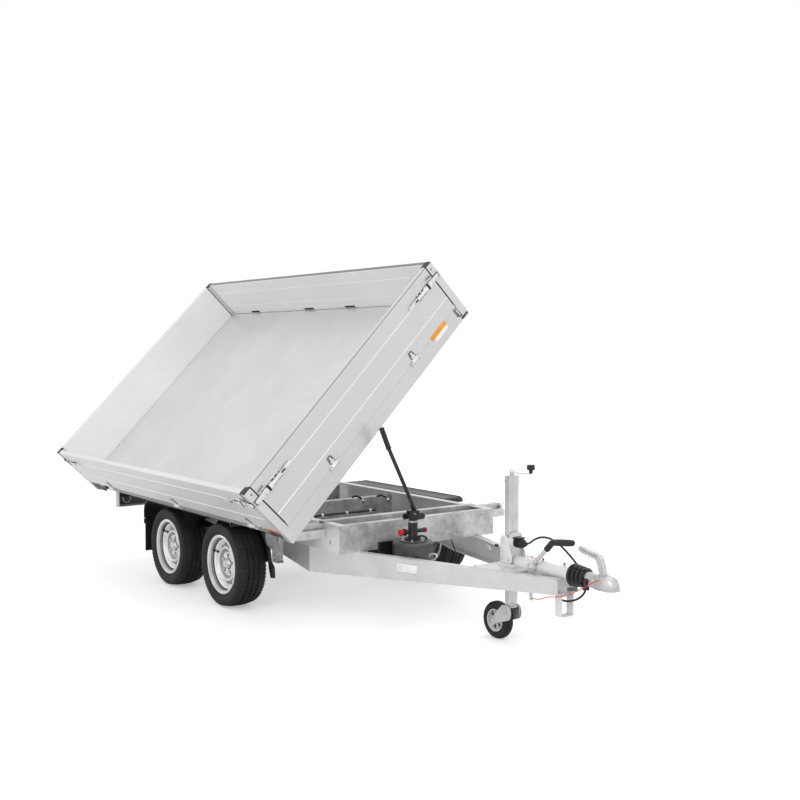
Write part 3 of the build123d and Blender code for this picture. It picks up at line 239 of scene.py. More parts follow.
# Darker copy of the board finish for the end boards and the sills: painted shade
BOARD_END_SHADED = anodised_look("board_cross", 217, 0.38, 1)
POST = anodised_look("post", 220, 0.36, 2)
FLOOR = metal_look("floor_sheet", 208, 221, 0.4, spangle=16, mottle=2.5, metal=0.55, contrast=0.35)
# Brighter copy of the board finish for the ridges: painted highlight
RIDGE_HIGHLIGHT = anodised_look("ridge_painted_highlight", 244, 0.3, 1)
# Dark grey for the top edges of the boards: painted shade
EDGE_SHADE = anodised_look("top_edge_painted_shade", 128, 0.4, 1)
# Lighter and darker copies of the zinc for fasteners, hinges and the corner plate: painted highlight and
# painted shade, for more contrast
LATCH_HIGHLIGHT = metal_look("latch_painted_highlight", 222, 248, 0.26, spangle=90, mottle=9, metal=0.6, contrast=0.3)
LATCH_SHADE = metal_look("latch_painted_shade", 84, 140, 0.36, spangle=120, mottle=12, metal=0.7, contrast=0.4)
# Darker finish for the side sills: painted shade under the boards
SILL_SHADED = metal_look("sill", 150, 178, 0.5, mottle=9)
CAP = plain_look("cap", 34, 0.5)
BLACK = plain_look("black_plastic", 20, 0.42, grain=420)
GUARD = plain_look("guard", 24, 0.38, grain=300, depth=0.0004)
RUBBER = plain_look("rubber", 24, 0.5, grain=700)
GLOSS = plain_look("bellows", 12, 0.22, grain=240)
TYRE = plain_look("tyre", 20, 0.66, grain=500, wear=36)
RIM = rim_look("rim", 222, 0.34, 0.4)
# Darker and lighter copies of the rim paint: painted shade in the valleys and groove, painted highlight on the
# crests
RIM_PAINTED_SHADE = rim_look("rim_painted_shade", 150, 0.34, 0.5)
RIM_DEEP_SHADE = rim_look("rim_painted_deep_shade", 106, 0.34, 0.5)
RIM_HIGHLIGHT = rim_look("rim_painted_highlight", 240, 0.3, 0.3)
RIM_GREY = plain_look("jockey_rim", 188, 0.5)
CAST = metal_look("casting", 176, 222, 0.4, spangle=260, mottle=16, contrast=0.4)
WHITE = plain_look("white_paint", 226, 0.3, wear=214)
TANK = plain_look("tank", 74, 0.35, metal=0.2, wear=92)
PUMP = plain_look("pump", 24, 0.36)
CHROME = chrome_look("chrome", 225, 0.08)
RED = plain_look("red_knob", (200, 16, 22), 0.35)
CRIMSON = plain_look("crimson_knob", (150, 14, 40), 0.35)
RED_CORD = plain_look("red_cord", (205, 40, 40), 0.5)
LENS_RED = plain_look("red_lens", (170, 12, 14), 0.15)
LENS_AMBER = plain_look("amber_lens", (232, 120, 20), 0.15)
LENS_WHITE = plain_look("white_lens", 226, 0.12)
ORANGE = plain_look("orange_patch", (242, 150, 30), 0.4)
PAPER = plain_look("white_patch", 240, 0.4)
LENS_SMOKE = plain_look("smoked_lens", (70, 74, 78), 0.2)
# Near-black, matt and barely shiny: the mudguards' black undersides, painted darker than the guards for the
# shade inside them
GUARD_UNDERSIDE_SHADE = plain_look("liner", 4, 0.95)
GUARD_UNDERSIDE_SHADE.node_tree.nodes["Principled BSDF"].inputs["Specular IOR Level"].default_value = 0.08
SEAL = plain_look("seal", 9, 0.6)
# Near-black: painted shade in holes, vents, recesses and between spokes; also the valve and the right board's
# stud
BLACK_AND_SHADE = plain_look("black_and_painted_shade", 6, 0.8)
# Dark grey sheet for the inside of the rear beam's channel: painted shade
SHADE_TRAY = plain_look("tray_painted_shade", 70, 0.55)

# Looks by material slot, and by node where one has its own
NODE_LOOK = {
    "galvanised": GALV,
    "aluminium": POST,
    "bright_zinc": ZINC,
    "floor_steel": FLOOR,
    "grey_plastic": CAP,
    "tyre": TYRE,
    "rim_silver": RIM,
    "black_plastic": GUARD,
    "bellows_rubber": GLOSS,
    "cast_iron": CAST,
    "white_paint": WHITE,
    "black_paint": PUMP,
    "dark_grey_paint": TANK,
    "chrome": CHROME,
    "cable_rubber": RUBBER,
    "lamp_plastic": LENS_RED,
}
OWN_LOOK = {
    "front_bearing_bar": GALV_CLOUDED,
    "front_cross_member": GALV_CLOUDED,
    # Cross members and the plates ahead of the mudguards take the darker copy, painted shade
    "cross_members": GALV_SHADED,
    "mudguard_front_plates": GALV_SHADED,
    "tank_bracket": PUMP,
    # The sills take the darker end-board copy, painted shade
    "bed_sills": BOARD_END_SHADED,
    # The right side beam takes the lighter copy of the galvanised finish, painted light; the left one keeps
    # the plain finish
    "side_beam_right": GALV_PAINTED_LIGHT,
    "jack_clamp": WHITE,
    "drawbar_gusset": GALV,
    "plug": BLACK,
}
for part in frame["record"]["subparts"]:
    name = part["node"]
    materials = nodes[name].data.materials
    look = OWN_LOOK.get(name) or NODE_LOOK[part["material_slot"]]
    if materials:
        for i in range(len(materials)):
            materials[i] = look
    else:
        materials.append(look)


# Cords: the same routes as the solids follow, smoothed by a spline

PLUG_END = 2172.0
GLAND_X, GLAND_Z = 2297.0, 376.0
PLUG_CABLE = [
    (PLUG_END, -20, 556), (PLUG_END + 30, -20, 560), (2238, -18, 588), (2282, -8, 609), (2334, 12, 606),
    (2376, 36, 576), (2412, 62, 532), (2446, 84, 486), (2478, 98, 442), (2502, 102, 398), (2514, 88, 354),
    (2512, 52, 322), (2492, 12, 306), (2456, -12, 302), (2412, -14, 314), (2370, -6, 352),
    (2340, 0, GLAND_Z), (GLAND_X + 10, 0, GLAND_Z),
]
BREAKAWAY = [
    (2712, -34, 455), (2712, -52, 455), (2698, -68, 444), (2664, -80, 420), (2606, -89, 386),
    (2548, -92, 356), (2490, -90, 340), (2430, -80, 330), (2370, -66, 312), (2312, -56, 288),
    (2266, -56, 288),
]


def row(point):
    return GROUND @ Vector(point)


def cord_curve(name, points, radius, look):
    curve = bpy.data.curves.new(name, "CURVE")
    curve.dimensions = "3D"
    spline = curve.splines.new("NURBS")
    spline.points.add(len(points) - 1)
    for target, point in zip(spline.points, points):
        target.co = (*row(point), 1.0)
    spline.order_u = 3
    spline.use_endpoint_u = True
    spline.resolution_u = 8
    curve.bevel_depth = radius
    curve.bevel_resolution = 4
    curve.use_fill_caps = True
    curve.materials.append(look)
    piece = bpy.data.objects.new(name, curve)
    scene.collection.objects.link(piece)
    return piece


LEAD_D, LINE_D = 0.011, 0.005
plug_lead = cord_curve("plug_lead", PLUG_CABLE, LEAD_D / 2, RUBBER)
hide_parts("plug_cable")
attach(plug_lead, "chassis")
safety_line = cord_curve("safety_line", BREAKAWAY, LINE_D / 2, RED_CORD)
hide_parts("breakaway_cable")
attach(safety_line, "chassis")


# Shapes


def round_turn(count, start=0.0):
    """Angles spread evenly over a full turn, in radians; start is in degrees."""
    return [radians(start) + 2 * pi * k / count for k in range(count)]


def arc(u, v, angles, r, r_v=None):
    """Points about (u, v) at these angles."""
    return [(u + r * cos(a), v + (r_v or r) * sin(a)) for a in angles]


def both_sides(half):
    """Profile of a wheel from its half at positive Y."""
    return half + [(r, -y) for r, y in half[::-1]]


def soften(bm, edges, offset, clamp=False):
    bmesh.ops.bevel(
        bm, geom=edges, offset=offset, segments=2, profile=0.6, affect="EDGES", clamp_overlap=clamp
    )


SHARP = radians(38.0)


class Form:
    """Gathers shapes, each with its own look, into one piece of mesh."""

    def __init__(self, place=GROUND):
        self.place = place
        self.verts, self.faces, self.looks = [], [], []

    def put(self, verts, faces, look=0, turn=None):
        start = len(self.verts)
        turn = turn or Matrix.Identity(4)
        self.verts += [turn @ Vector(v) for v in verts]
        self.faces += [tuple(start + i for i in face) for face in faces]
        self.looks += [look] * len(faces)

    def take(self, bm, look=0, turn=None):
        bm.verts.index_update()
        verts = [v.co.copy() for v in bm.verts]
        faces = [[v.index for v in f.verts] for f in bm.faces]
        bm.free()
        self.put(verts, faces, look, turn)

    def box(self, x, y, z, bevel=1.0, look=0, turn=None):
        bm = bmesh.new()
        bmesh.ops.create_cube(bm, size=1)
        spans = [sorted(span) for span in (x, y, z)]
        for v in bm.verts:
            v.co = [lo + (c + 0.5) * (hi - lo) for c, (lo, hi) in zip(v.co, spans)]
        if bevel:
            limit = min(hi - lo for lo, hi in spans) * 0.45
            soften(bm, bm.edges[:], min(bevel, limit))
        self.take(bm, look, turn)

    def plate(self, outline, along, lo, hi, bevel=0.8, look=0, turn=None):
        """Outline in the two other axes, in X, Y, Z order, thick between lo and hi."""
        lo, hi = sorted((lo, hi))
        bm = bmesh.new()
        order = {"X": (1, 2, 0), "Y": (0, 2, 1), "Z": (0, 1, 2)}[along]

        def corner(point, level):
            co = [0.0, 0.0, 0.0]
            co[order[0]], co[order[1]], co[order[2]] = point[0], point[1], level
            return bm.verts.new(co)

        low = [corner(p, lo) for p in outline]
        high = [corner(p, hi) for p in outline]
        bm.faces.new(low[::-1])
        bm.faces.new(high)
        count = len(outline)
        for i in range(count):
            k = (i + 1) % count
            bm.faces.new((low[i], low[k], high[k], high[i]))
        bmesh.ops.recalc_face_normals(bm, faces=bm.faces[:])
        if bevel:
            sharp = [e for e in bm.edges if e.calc_face_angle(0) > 0.45]
            soften(bm, sharp, bevel, clamp=True)
        self.take(bm, look, turn)

    def lathe(self, profile, centre=(0, 0, 0), axis=ACROSS, count=48, look=0, closed=False):
        """Turns a profile of (radius, distance along the axis) about the axis through centre."""
        spin = Vector(axis).normalized().to_track_quat("Z", "Y").to_matrix().to_4x4()
        frame_of = Matrix.Translation(centre) @ spin
        verts, faces = [], []
        rows = len(profile)
        for i in range(count):
            a = 2 * pi * i / count
            verts += [frame_of @ Vector((r * cos(a), r * sin(a), h)) for r, h in profile]
        for i in range(count):
            k = (i + 1) % count
            for j in range(rows if closed else rows - 1):
                n = (j + 1) % rows
                faces.append((i * rows + j, k * rows + j, k * rows + n, i * rows + n))
        if not closed:
            for j in (0, rows - 1):
                if profile[j][0] > 1e-6:
                    ring = [i * rows + j for i in range(count)]
                    faces.append(tuple(ring if j else ring[::-1]))
        bm = bmesh.new()
        made = [bm.verts.new(v) for v in verts]
        for face in faces:
            if len(set(face)) > 2:
                bm.faces.new([made[i] for i in face])
        bmesh.ops.remove_doubles(bm, verts=bm.verts[:], dist=1e-4)
        bmesh.ops.recalc_face_normals(bm, faces=bm.faces[:])
        self.take(bm, look)

    def ring(self, profile, count=72, look=0):
        """Closed profile turned about the Y axis."""
        self.lathe(profile, count=count, look=look, closed=True)

    def extruded(self, outline, lo, hi, looks):
        """Outline in X and Z drawn out along Y, with a look for each of its sides."""
        count = len(outline)
        verts = [(x, y, z) for y in (lo, hi) for x, z in outline]
        for i in range(count):
            k = (i + 1) % count
            self.put([verts[j] for j in (i, k, count + k, count + i)], [(0, 1, 2, 3)], looks[i])
        self.put(verts, [tuple(range(count))[::-1], tuple(range(count, 2 * count))], looks[0])

    def rod(self, start, end, r, r_end=None, count=24, edge=1.0, look=0):
        a, b = Vector(start), Vector(end)
        r_end = r if r_end is None else r_end
        long = (b - a).length
        edge = min(edge, r * 0.6, long * 0.4)
        profile = [(r - edge, 0), (r, edge), (r_end, long - edge), (r_end - edge, long)]
        self.lathe(profile, a, b - a, count, look)

    def tube(self, points, r, count=12, look=0, rounds=6, turn=None, closed=False):
        """Round bar along a smooth line through the points' corners."""
        pts = [Vector(p) for p in points]
        line = []
        if closed or rounds == 0:
            line = pts
        else:
            line.append(pts[0])
            for a, b, c in zip(pts, pts[1:], pts[2:]):
                reach = 0.45 * min((b - a).length, (c - b).length)
                p, q = b + (a - b).normalized() * reach, b + (c - b).normalized() * reach
                for i in range(rounds + 1):
                    t = i / rounds
                    line.append(p.lerp(b, t).lerp(b.lerp(q, t), t))
            line.append(pts[-1])
        verts, faces = [], []
        side = None
        total = len(line)
        for i, p in enumerate(line):
            before = line[i - 1] if (i or closed) else p
            after = line[(i + 1) % total] if (i < total - 1 or closed) else p
            ahead = (after - before).normalized()
            if side is None:
                side = ahead.orthogonal().normalized()
            side = (side - ahead * side.dot(ahead)).normalized()
            other = ahead.cross(side)
            for k in range(count):
                a = 2 * pi * k / count
                verts.append(p + (side * cos(a) + other * sin(a)) * r)
        for i in range(total if closed else total - 1):
            n = (i + 1) % total
            for k in range(count):
                m = (k + 1) % count
                faces.append((i * count + k, i * count + m, n * count + m, n * count + k))
        if not closed:
            faces.append(tuple(range(count))[::-1])
            faces.append(tuple((total - 1) * count + k for k in range(count)))
        self.put(verts, faces, look, turn)

    def ball(self, centre, r, look=0, scale=(1, 1, 1)):
        bm = bmesh.new()
        bmesh.ops.create_uvsphere(bm, u_segments=20, v_segments=12, radius=r)
        for v in bm.verts:
            v.co = Vector(centre) + Vector(c * s for c, s in zip(v.co, scale))
        self.take(bm, look)

    def bolt(self, at, axis, size, look=0, washer=True):
        """Hexagon head with a washer and the end of its thread."""
        tall = size * 0.7
        rim, thread = size * 1.2, size * 0.42
        if washer:
            self.lathe([(0, 0), (size * 1.15, 0), (rim, 0.4), (rim, 1.4), (0, 1.5)], at, axis, 20, look)
        head = [(0, 1.4), (size * 0.9, 1.5), (size * 0.95, tall), (size * 0.8, tall + 1.2), (0, tall + 1.3)]
        self.lathe(head, at, axis, 6, look)
        end = [(thread, tall), (thread, tall + 4), (size * 0.34, tall + 5), (0, tall + 5)]
        self.lathe(end, at, axis, 14, look)

    def done(self, name, body, looks, replaces=()):
        mesh = bpy.data.meshes.new(name)
        mesh.from_pydata([self.place @ v for v in self.verts], [], self.faces)
        for look in looks:
            mesh.materials.append(look)
        mesh.polygons.foreach_set("material_index", self.looks)
        mesh.shade_smooth()
        mesh.set_sharp_from_angle(angle=SHARP)
        piece = bpy.data.objects.new(name, mesh)
        scene.collection.objects.link(piece)
        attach(piece, body)
        if replaces:
            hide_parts(*replaces)
        return piece


# Wheels

TYRE_R, WHEEL_Y, AXLE_X = 262.5, 798.0, 380.0


def road_tyre(form):
    """Tyre about the Y axis at the origin: stepped sidewalls, grooved tread base and tread blocks."""
    half = [
        (166, 76), (168, 79), (180, 79.5), (184, 80.5), (186, 84), (189, 87.5), (192, 86.6), (194, 88.6),
        (202, 92.4), (203, 91.8), (204, 92.9), (215, 96.6), (216, 95.8), (217, 97), (225, 97.7), (226, 96.6),
        (228, 97.6), (238, 96), (246, 91), (252.5, 85.5), (253.4, 82), (253.6, 42), (250.6, 39.5),
        (250.6, 31.5), (253.6, 29), (253.8, 3.2), (252.4, 2), (252.4, 0),
    ]
    form.ring(half + [(r, -y) for r, y in half[-2::-1]], 96)
    # Columns: Y from and to, blocks round, skew of their ends, share of the pitch, start
    ribs = (
        (41, 84, 56, 3, 0.462, 0.0),
        (3.4, 29, 62, 13, 0.41, 0.3),
        (-29, -3.4, 62, -13, 0.41, 0.8),
        (-84, -41, 56, -3, 0.462, 0.5),
    )
    for y0, y1, blocks, skew, share, phase in ribs:
        step = 2 * pi / blocks
        for k in range(blocks):
            middle = (k + phase) * step
            wide = share if k % 3 else share * 1.05
            verts = []
            for lift, inset in ((-7.0, 0.0), (0.0, 1.0)):
                for y, way in ((y0 + inset, -1), (y1 - inset, 1)):
                    top = TYRE_R - 0.0009 * y * y * (1.5 if abs(y) > 60 else 1.0)
                    for end in (-1, 1):
                        a = middle + end * (wide * step - inset / 260) + way * skew * 0.0034
                        verts.append(((top + lift) * sin(a), y, (top + lift) * cos(a)))
            form.put(verts, [(4, 5, 7, 6), (0, 1, 5, 4), (2, 6, 7, 3), (0, 4, 6, 2), (1, 3, 7, 5)])
    # Bars round the shoulders
    for side in (1, -1):
        for k in range(64):
            spin = turned(2 * pi * (k + 0.5) / 64, "Y")
            form.box((-7.5, 7.5), (side * 84, side * 93.5), (238, 249.6), 1.6, turn=spin)


def road_rim(form):
    """Pressed rim about the Y axis at the origin, its outer face to +Y, with the drum behind it."""
    barrel = [
        (166, 84), (176, 86), (181.5, 85.2), (182, 82), (180, 80), (170, 79.5), (166, 77), (165.5, 62),
        (164, 52), (162, 30), (150, 20), (148, -20), (150, -44), (163, -62), (166, -77), (170, -79.5),
        (180, -80), (182, -84), (176, -86), (166, -84), (161, -74), (158, -60), (146, -42), (144, -14),
        (147, 16), (158.5, 28), (160.5, 44), (161, 56), (163, 70),
    ]
    form.ring(barrel)
    disc = [
        (20, 33), (72, 33), (79, 34.5), (86, 39), (92, 46), (97, 51), (101, 52), (105, 49), (109, 42),
        (114, 33), (121, 28.5), (128, 30), (134, 36), (140, 43), (146, 50), (151, 52), (155, 50),
        (157.5, 44), (159, 36), (159.5, 30), (156, 30), (153, 40), (149, 46), (144, 44), (137, 36),
        (131, 27), (121, 24), (111, 30), (105, 39), (99, 46), (93, 42), (84, 32), (74, 28), (20, 28),
    ]
    form.ring(disc)
    # Bands of the pressing: painted shade on the slopes, painted highlight on the crests
    for look, points in (
        (4, [(73, 33.1), (79, 34.5), (86, 39), (91, 45)]),
        (5, [(96, 50), (101, 52), (105, 49)]),
        (4, [(108, 44), (114, 33), (121, 28.5), (128, 30)]),
        (5, [(142, 45.4), (146, 50), (151, 52), (154, 50.5)]),
        (6, [(157.4, 44.4), (158.8, 37), (159.6, 30.5)]),
    ):
        form.ring([(r, y + 0.35) for r, y in points] + [(r, y - 0.6) for r, y in points[::-1]], look=look)
    # Rings in the barrel's groove: painted shade
    form.ring([(160.2, 57), (159.4, 44), (157.6, 31), (159, 29), (161, 44), (161.8, 57)], look=6)
    form.ring([(162.6, 69), (160.6, 57), (161.6, 57), (163.6, 69)], look=4)
    # Hub cap in the middle, in its collar; the collar is near-black, painted shade in its recess
    form.lathe([(36, 33), (35.6, 34.6), (30, 35)], count=36, look=2)
    form.lathe([(31, 33), (31, 37), (29, 38.5), (27, 37.5), (26.5, 34)], count=36, look=1)
    form.lathe([(26, 33), (26, 36), (22, 40), (19, 45), (12, 48), (0, 48.8)], count=36, look=1)
    # Wheel bolts in their seats, each in a ring of painted highlight and a near-black ring of painted shade
    for x, z in arc(0, 0, round_turn(5, 96), 54):
        form.lathe([(17, 32.5), (16, 36), (13, 37.6), (9, 37.6)], (x, 0, z), count=24, look=5)
        form.lathe([(12.6, 36), (12.2, 38.8), (9, 39.4)], (x, 0, z), count=20, look=2)
        form.lathe([(9.4, 36), (9.4, 47), (8, 51), (5.5, 52.6), (0, 52.8)], (x, 0, z), count=6, look=1)
    # Vents round the valley of the disc: near-black discs of painted shade in place of holes, each in a ring
    # of painted highlight
    for x, z in arc(0, 0, round_turn(16, 97), 123):
        form.lathe([(10.6, 28), (10.6, 31), (9.6, 31.8), (8.8, 31)], (x, 0, z), count=18, look=5)
        form.lathe([(9.2, 29), (9.2, 31.4), (0, 31.4)], (x, 0, z), count=18, look=2)
    # Valve
    spin = turned(-radians(25), "Y")
    inner, outer = spin @ Vector((126, 34, 0)), spin @ Vector((150, 60, 0))
    form.rod(inner, outer, 4, count=12, look=2)
    form.ball(inner, 8.5, look=2)
    form.ball(outer, 7.5, look=2)
    # Hub and drum, in the darker galvanised copy, painted shade
    drum = [(40, -100), (108, -102), (113, -98), (114, 4), (106, 8), (66, 20), (33, 22), (33, -100)]
    form.ring(drum, 48, look=3)
    for y in (-90, -80, -70):
        form.ring([(113, y), (116, y + 2), (116, y + 4), (113, y + 6)], 48, look=3)


RIM_LOOKS = [RIM, ZINC, BLACK_AND_SHADE, GALV_SHADED, RIM_PAINTED_SHADE, RIM_HIGHLIGHT, RIM_DEEP_SHADE]
for end, x, angle in (("front", AXLE_X, 0.0), ("rear", -AXLE_X, 0.2)):
    for side, y, half_turn in (("left", WHEEL_Y, 0.0), ("right", -WHEEL_Y, pi)):
        which = f"{end}_{side}"
        place = GROUND @ moved(x, y, TYRE_R) @ turned(angle, "Y") @ turned(half_turn, "Z")
        form = Form(place)
        road_tyre(form)
        form.done(f"road_tyre_{which}", f"wheel_{which}", [TYRE], [f"tyre_{which}"])
        form = Form(place)
        road_rim(form)
        form.done(f"road_rim_{which}", f"wheel_{which}", RIM_LOOKS, [f"rim_{which}"])


# Bed


def latch(form, end, d):
    """Over-centre fastener near one end of a board: pressed base, cheeks, lever, claw and wire."""
    z = 235.0

    def low(out):
        """Distance out, drawn in so that the fastener stays as flat as the solid one."""
        return out if out < 5 else 5 + (out - 5) * 0.62

    def flat(points, z0, z1, bevel=0.5, look=2):
        """Outline of distance out and distance past the board's end."""
        form.plate([(low(out), end + d * past) for out, past in points], "Z", z0, z1, bevel, look)

    def across(out, past, r, half, count=16):
        y = end + d * past
        form.rod((low(out), y, z - half), (low(out), y, z + half), r, count=count, look=2)

    def rail(points, r, look):
        """Round bar through distances out and past the board's end, and heights over the middle."""
        form.tube([(out, end + d * past, z + up) for out, past, up in points], r, 8, look)

    # Base with rolled long edges and rivets; the base in the darker zinc copy, painted shade
    flat([(-0.5, -172), (-0.5, -30), (3, -30), (3, -172)], z - 22, z + 22, look=6)
    for off in (-22.5, 22.5):
        form.rod((3.2, end - d * 170, z + off), (3.2, end - d * 32, z + off), 2.6, count=12, look=2)
    for past, off in ((-128, 15), (-160, -14), (-160, 14), (-128, -15)):
        form.lathe([(5, 2.8), (4.8, 4.4), (3, 5.6), (0, 6)], (0, end + d * past, z + off), ALONG, 14, 2)
    # Cheeks with their two pins, and a black block between them and a black strip under the lever: painted
    # shade inside the fastener
    for off in (-13, 13):
        flat([(2, -106), (2, -26), (10, -27), (17, -46), (17, -88), (11, -106)], z + off - 1.5, z + off + 1.5)
    across(12.5, -46, 3.6, 18)
    across(10.5, -92, 3.2, 18)
    flat([(15, -76), (20, -74), (20, -62), (15, -60)], z - 19, z + 19, look=3)
    flat([(3, -124), (4.6, -124), (4.6, -34), (3, -34)], z - 11, z + 11, look=3)
    # Lever: a pressed channel that thins to its finger tab
    flat([(16.2, -34), (18.6, -34), (18.6, -60), (16.2, -60)], z - 10.5, z + 10.5)
    web = [
        (16.2, -76), (18.6, -76), (18.6, -150), (15.4, -246),
        (10, -257), (8.4, -255), (13.4, -245), (16.2, -150),
    ]
    flat(web, z - 10.5, z + 10.5)
    wall = [(8.6, -40), (17.6, -34), (18.4, -150), (15, -240), (12.6, -240), (13.6, -150), (11, -118)]
    for off in (-10, 10):
        flat(wall, z + off - 1.2, z + off + 1.2)
    form.tube([(12, end - d * 205, z), (8, end - d * 236, z), (9, end - d * 266, z)], 3.8, 10, 2)
    flat([(18.2, -176), (19, -176), (17.6, -214), (16.6, -214)], z - 5, z + 5, 0.3, look=3)
    # Claw over the post, with the wire loop that pulls it
    claw = [(1, 27), (1, 39), (7.4, 39), (8.8, 34), (9, -8), (13.8, -46), (10.6, -46), (7.2, -8), (6.6, 27)]
    flat(claw, z - 9.5, z + 9.5, 0.7)
    for up in (-13.5, 13.5):
        line = [(14, -60, up), (13.4, -24, up), (12.4, 12, up * 0.8), (9.4, 30, up * 0.7)]
        rail([(low(out), past, height) for out, past, height in line], 2.6, 2)
    across(9.4, 30, 2.8, 11, 12)
    flat([(0.4, 6), (1.6, 6), (1.6, 44), (0.4, 44)], z - 17, z + 17, 0.4, look=6)
    flat([(0.4, 41), (4.6, 41), (4.6, 45), (0.4, 45)], z - 17, z + 17, 0.4, look=6)
    # Spring clip above
    for shift, look in ((0, 3), (-34, 2)):
        line = [(3, shift - 60, 34), (9, shift - 44, 38), (7, shift - 18, 36), (3, shift - 8, 31)]
        rail(line, 2.3, look)


def hinge(form, a):
    """Strap, knuckle and rivets of one hinge on its board."""
    strap = [(a - 25, 3), (a + 25, 3), (a + 16, 58), (a + 10, 62), (a - 10, 62), (a - 16, 58)]
    # The strap is in the darker zinc copy, painted shade; the rest of the hinge in the lighter one, painted
    # highlight
    form.plate(strap, "X", -0.6, 4, 1.0, 6)
    form.plate([(a - 9, 6), (a + 9, 6), (a + 5, 54), (a - 5, 54)], "X", 3.8, 5.2, 0.6, 2)
    form.plate([(-0.5, 1), (8, 6.2), (4, 14), (-0.5, 18)], "Y", a - 25, a + 25, 0.6, 2)
    knuckle = [(4.3, -25), (7, -25), (7.4, -24), (7.4, 24), (7, 25), (4.3, 25)]
    form.lathe(knuckle, (8, a, 0), ACROSS, 24, 2, closed=True)
    for off, up in ((-12, 26), (12, 26), (0, 50)):
        form.lathe([(5, 3.8), (4.8, 5.4), (3, 6.6), (0, 7)], (0, a + off, up), ALONG, 14, 2)


def drop_board(side):
    """Extruded board with its ridges, hinges, fasteners and end seals."""
    reach, ridges, places = BOARDS[side]
    cross = side in ("front", "rear")
    form = Form(SIDES[side])
    foot, rise = (-4.4, 1.2) if cross else (0.0, 2.6)
    outline, looks = [(-4.5, foot), (0.0, foot)], [0]
    # The outer rounding of the top edge is dark grey, painted shade, on all boards but the right one; the left
    # board's flat top too
    edge = 0 if side == "right" else 5
    # Ridges take the brighter copy of the finish, a painted highlight
    for h in ridges:
        outline += [(0, h - 3.2), (rise, h - 1.6), (rise, h + 1.6), (0, h + 3.2)]
        looks += [0, 1, 1, 1]
    outline += [(0, 321.5), (-1.2, 324), (-3.8, 325), (-26.2, 325), (-29.2, 324), (-30, 321.5)]
    looks += [0, edge, edge, 5 if side == "left" else 0, 0, 4]
    for h in reversed(ridges):
        outline += [(-30, h + 2.6), (-28.2, h + 1.2), (-28.2, h - 1.2), (-30, h - 2.6)]
        looks += [4, 1, 1, 1]
    outline += [(-30, 0), (-4.5, 0)]
    looks += [4, 0]
    form.extruded(outline, -reach, reach, looks + [0])
    for a in places:
        hinge(form, a)
    for d in (1, -1):
        latch(form, d * reach, d)
    # Inner faces take the lighter copies of the finish, painted light
    outer, inner = (BOARD_END_SHADED, BOARD_END_IN_LIT) if cross else (BOARD_SIDE, BOARD_SIDE_IN_LIT)
    looks = [outer, RIDGE_HIGHLIGHT, LATCH_HIGHLIGHT, SEAL, inner, EDGE_SHADE, LATCH_SHADE]
    form.done(f"drop_board_{side}", f"board_{side}", looks, [f"board_{side}"])
    # Black seals along both ends
    form = Form(SIDES[side])
    for d in (1, -1):
        form.box((-27, -1.0), (d * (reach - 0.3), d * (reach + 4.5)), (4, 321), 0.8)
        form.box((-1.6, 1.7), (d * (reach - 3.2), d * (reach + 4.6)), (22 if cross else 196, 322), 1.2)
    form.done(f"board_seals_{side}", f"board_{side}", [SEAL])


# Columns: half-length, heights of the ridges above the foot, hinge places along the side
BOARDS = {
    "front": (842.0, (88, 222), (-405, 405)),
    "rear": (842.0, (88, 222), (-405, 405)),
    "left": (1372.0, (101, 240), (940, -130, -1100)),
    "right": (1372.0, (101, 240), (-940, 130, 1100)),
}
for side in BOARDS:
    drop_board(side)

# Skins of the sills: flush and ridged at the ends; set back along the sides, in a darker finish that paints
# the shade under the boards
for side in ("front", "rear"):
    form = Form(SIDES[side])
    outline = [
        (-1.9, -94.6), (-0.2, -94.6), (-0.2, -50), (0.2, -48),
        (0.2, -46), (-0.2, -44), (-0.2, -5.4), (-1.9, -5.4),
    ]
    form.extruded(outline, -846.5, 846.5, [0] * len(outline))
    form.done(f"sill_skin_{side}", "bed", [BOARD_END_SHADED])
for side, d in (("right", 1), ("left", -1)):
    form = Form(SIDES[side])
    outline = [
        (-17.9, -74.8), (-15.5, -74.8), (-15.5, -70), (-17, -68), (-17, -44),
        (-15.8, -42), (-15.8, -40), (-17, -38), (-17, -5.4), (-17.9, -5.4),
    ]
    form.extruded(outline, -1371.5, 1371.5, [0] * len(outline))
    for a in BOARDS[side][2]:
        for s in (-1, 1):
            form.bolt((-15.6, a + s * 64, -30), ALONG, 6, 1)
            form.bolt((8, a + s * 36, -15), ALONG, 4.5, 1, washer=False)
    # Side marker lamps near both ends
    form.box((-16, -5), (d * 1228, d * 1358), (-74, -2), 3, 2)
    form.box((-9, -3.4), (d * 1234, d * 1352), (-27, -4), 3, 3)
    form.box((-9, -3.8), (d * 1240, d * 1346), (-70, -34), 3, 4)
    form.box((-16, -4), (d * -1382, d * -1226), (-92, -3), 3, 2)
    form.box((-16, -5), (d * -1222, d * -1146), (-60, -2), 3, 2)
    form.box((-9, -3.4), (d * -1218, d * -1150), (-29, -4), 3, 3)
    form.done(f"sill_skin_{side}", "bed", [SILL_SHADED, ZINC, BLACK, LENS_AMBER, LENS_SMOKE])

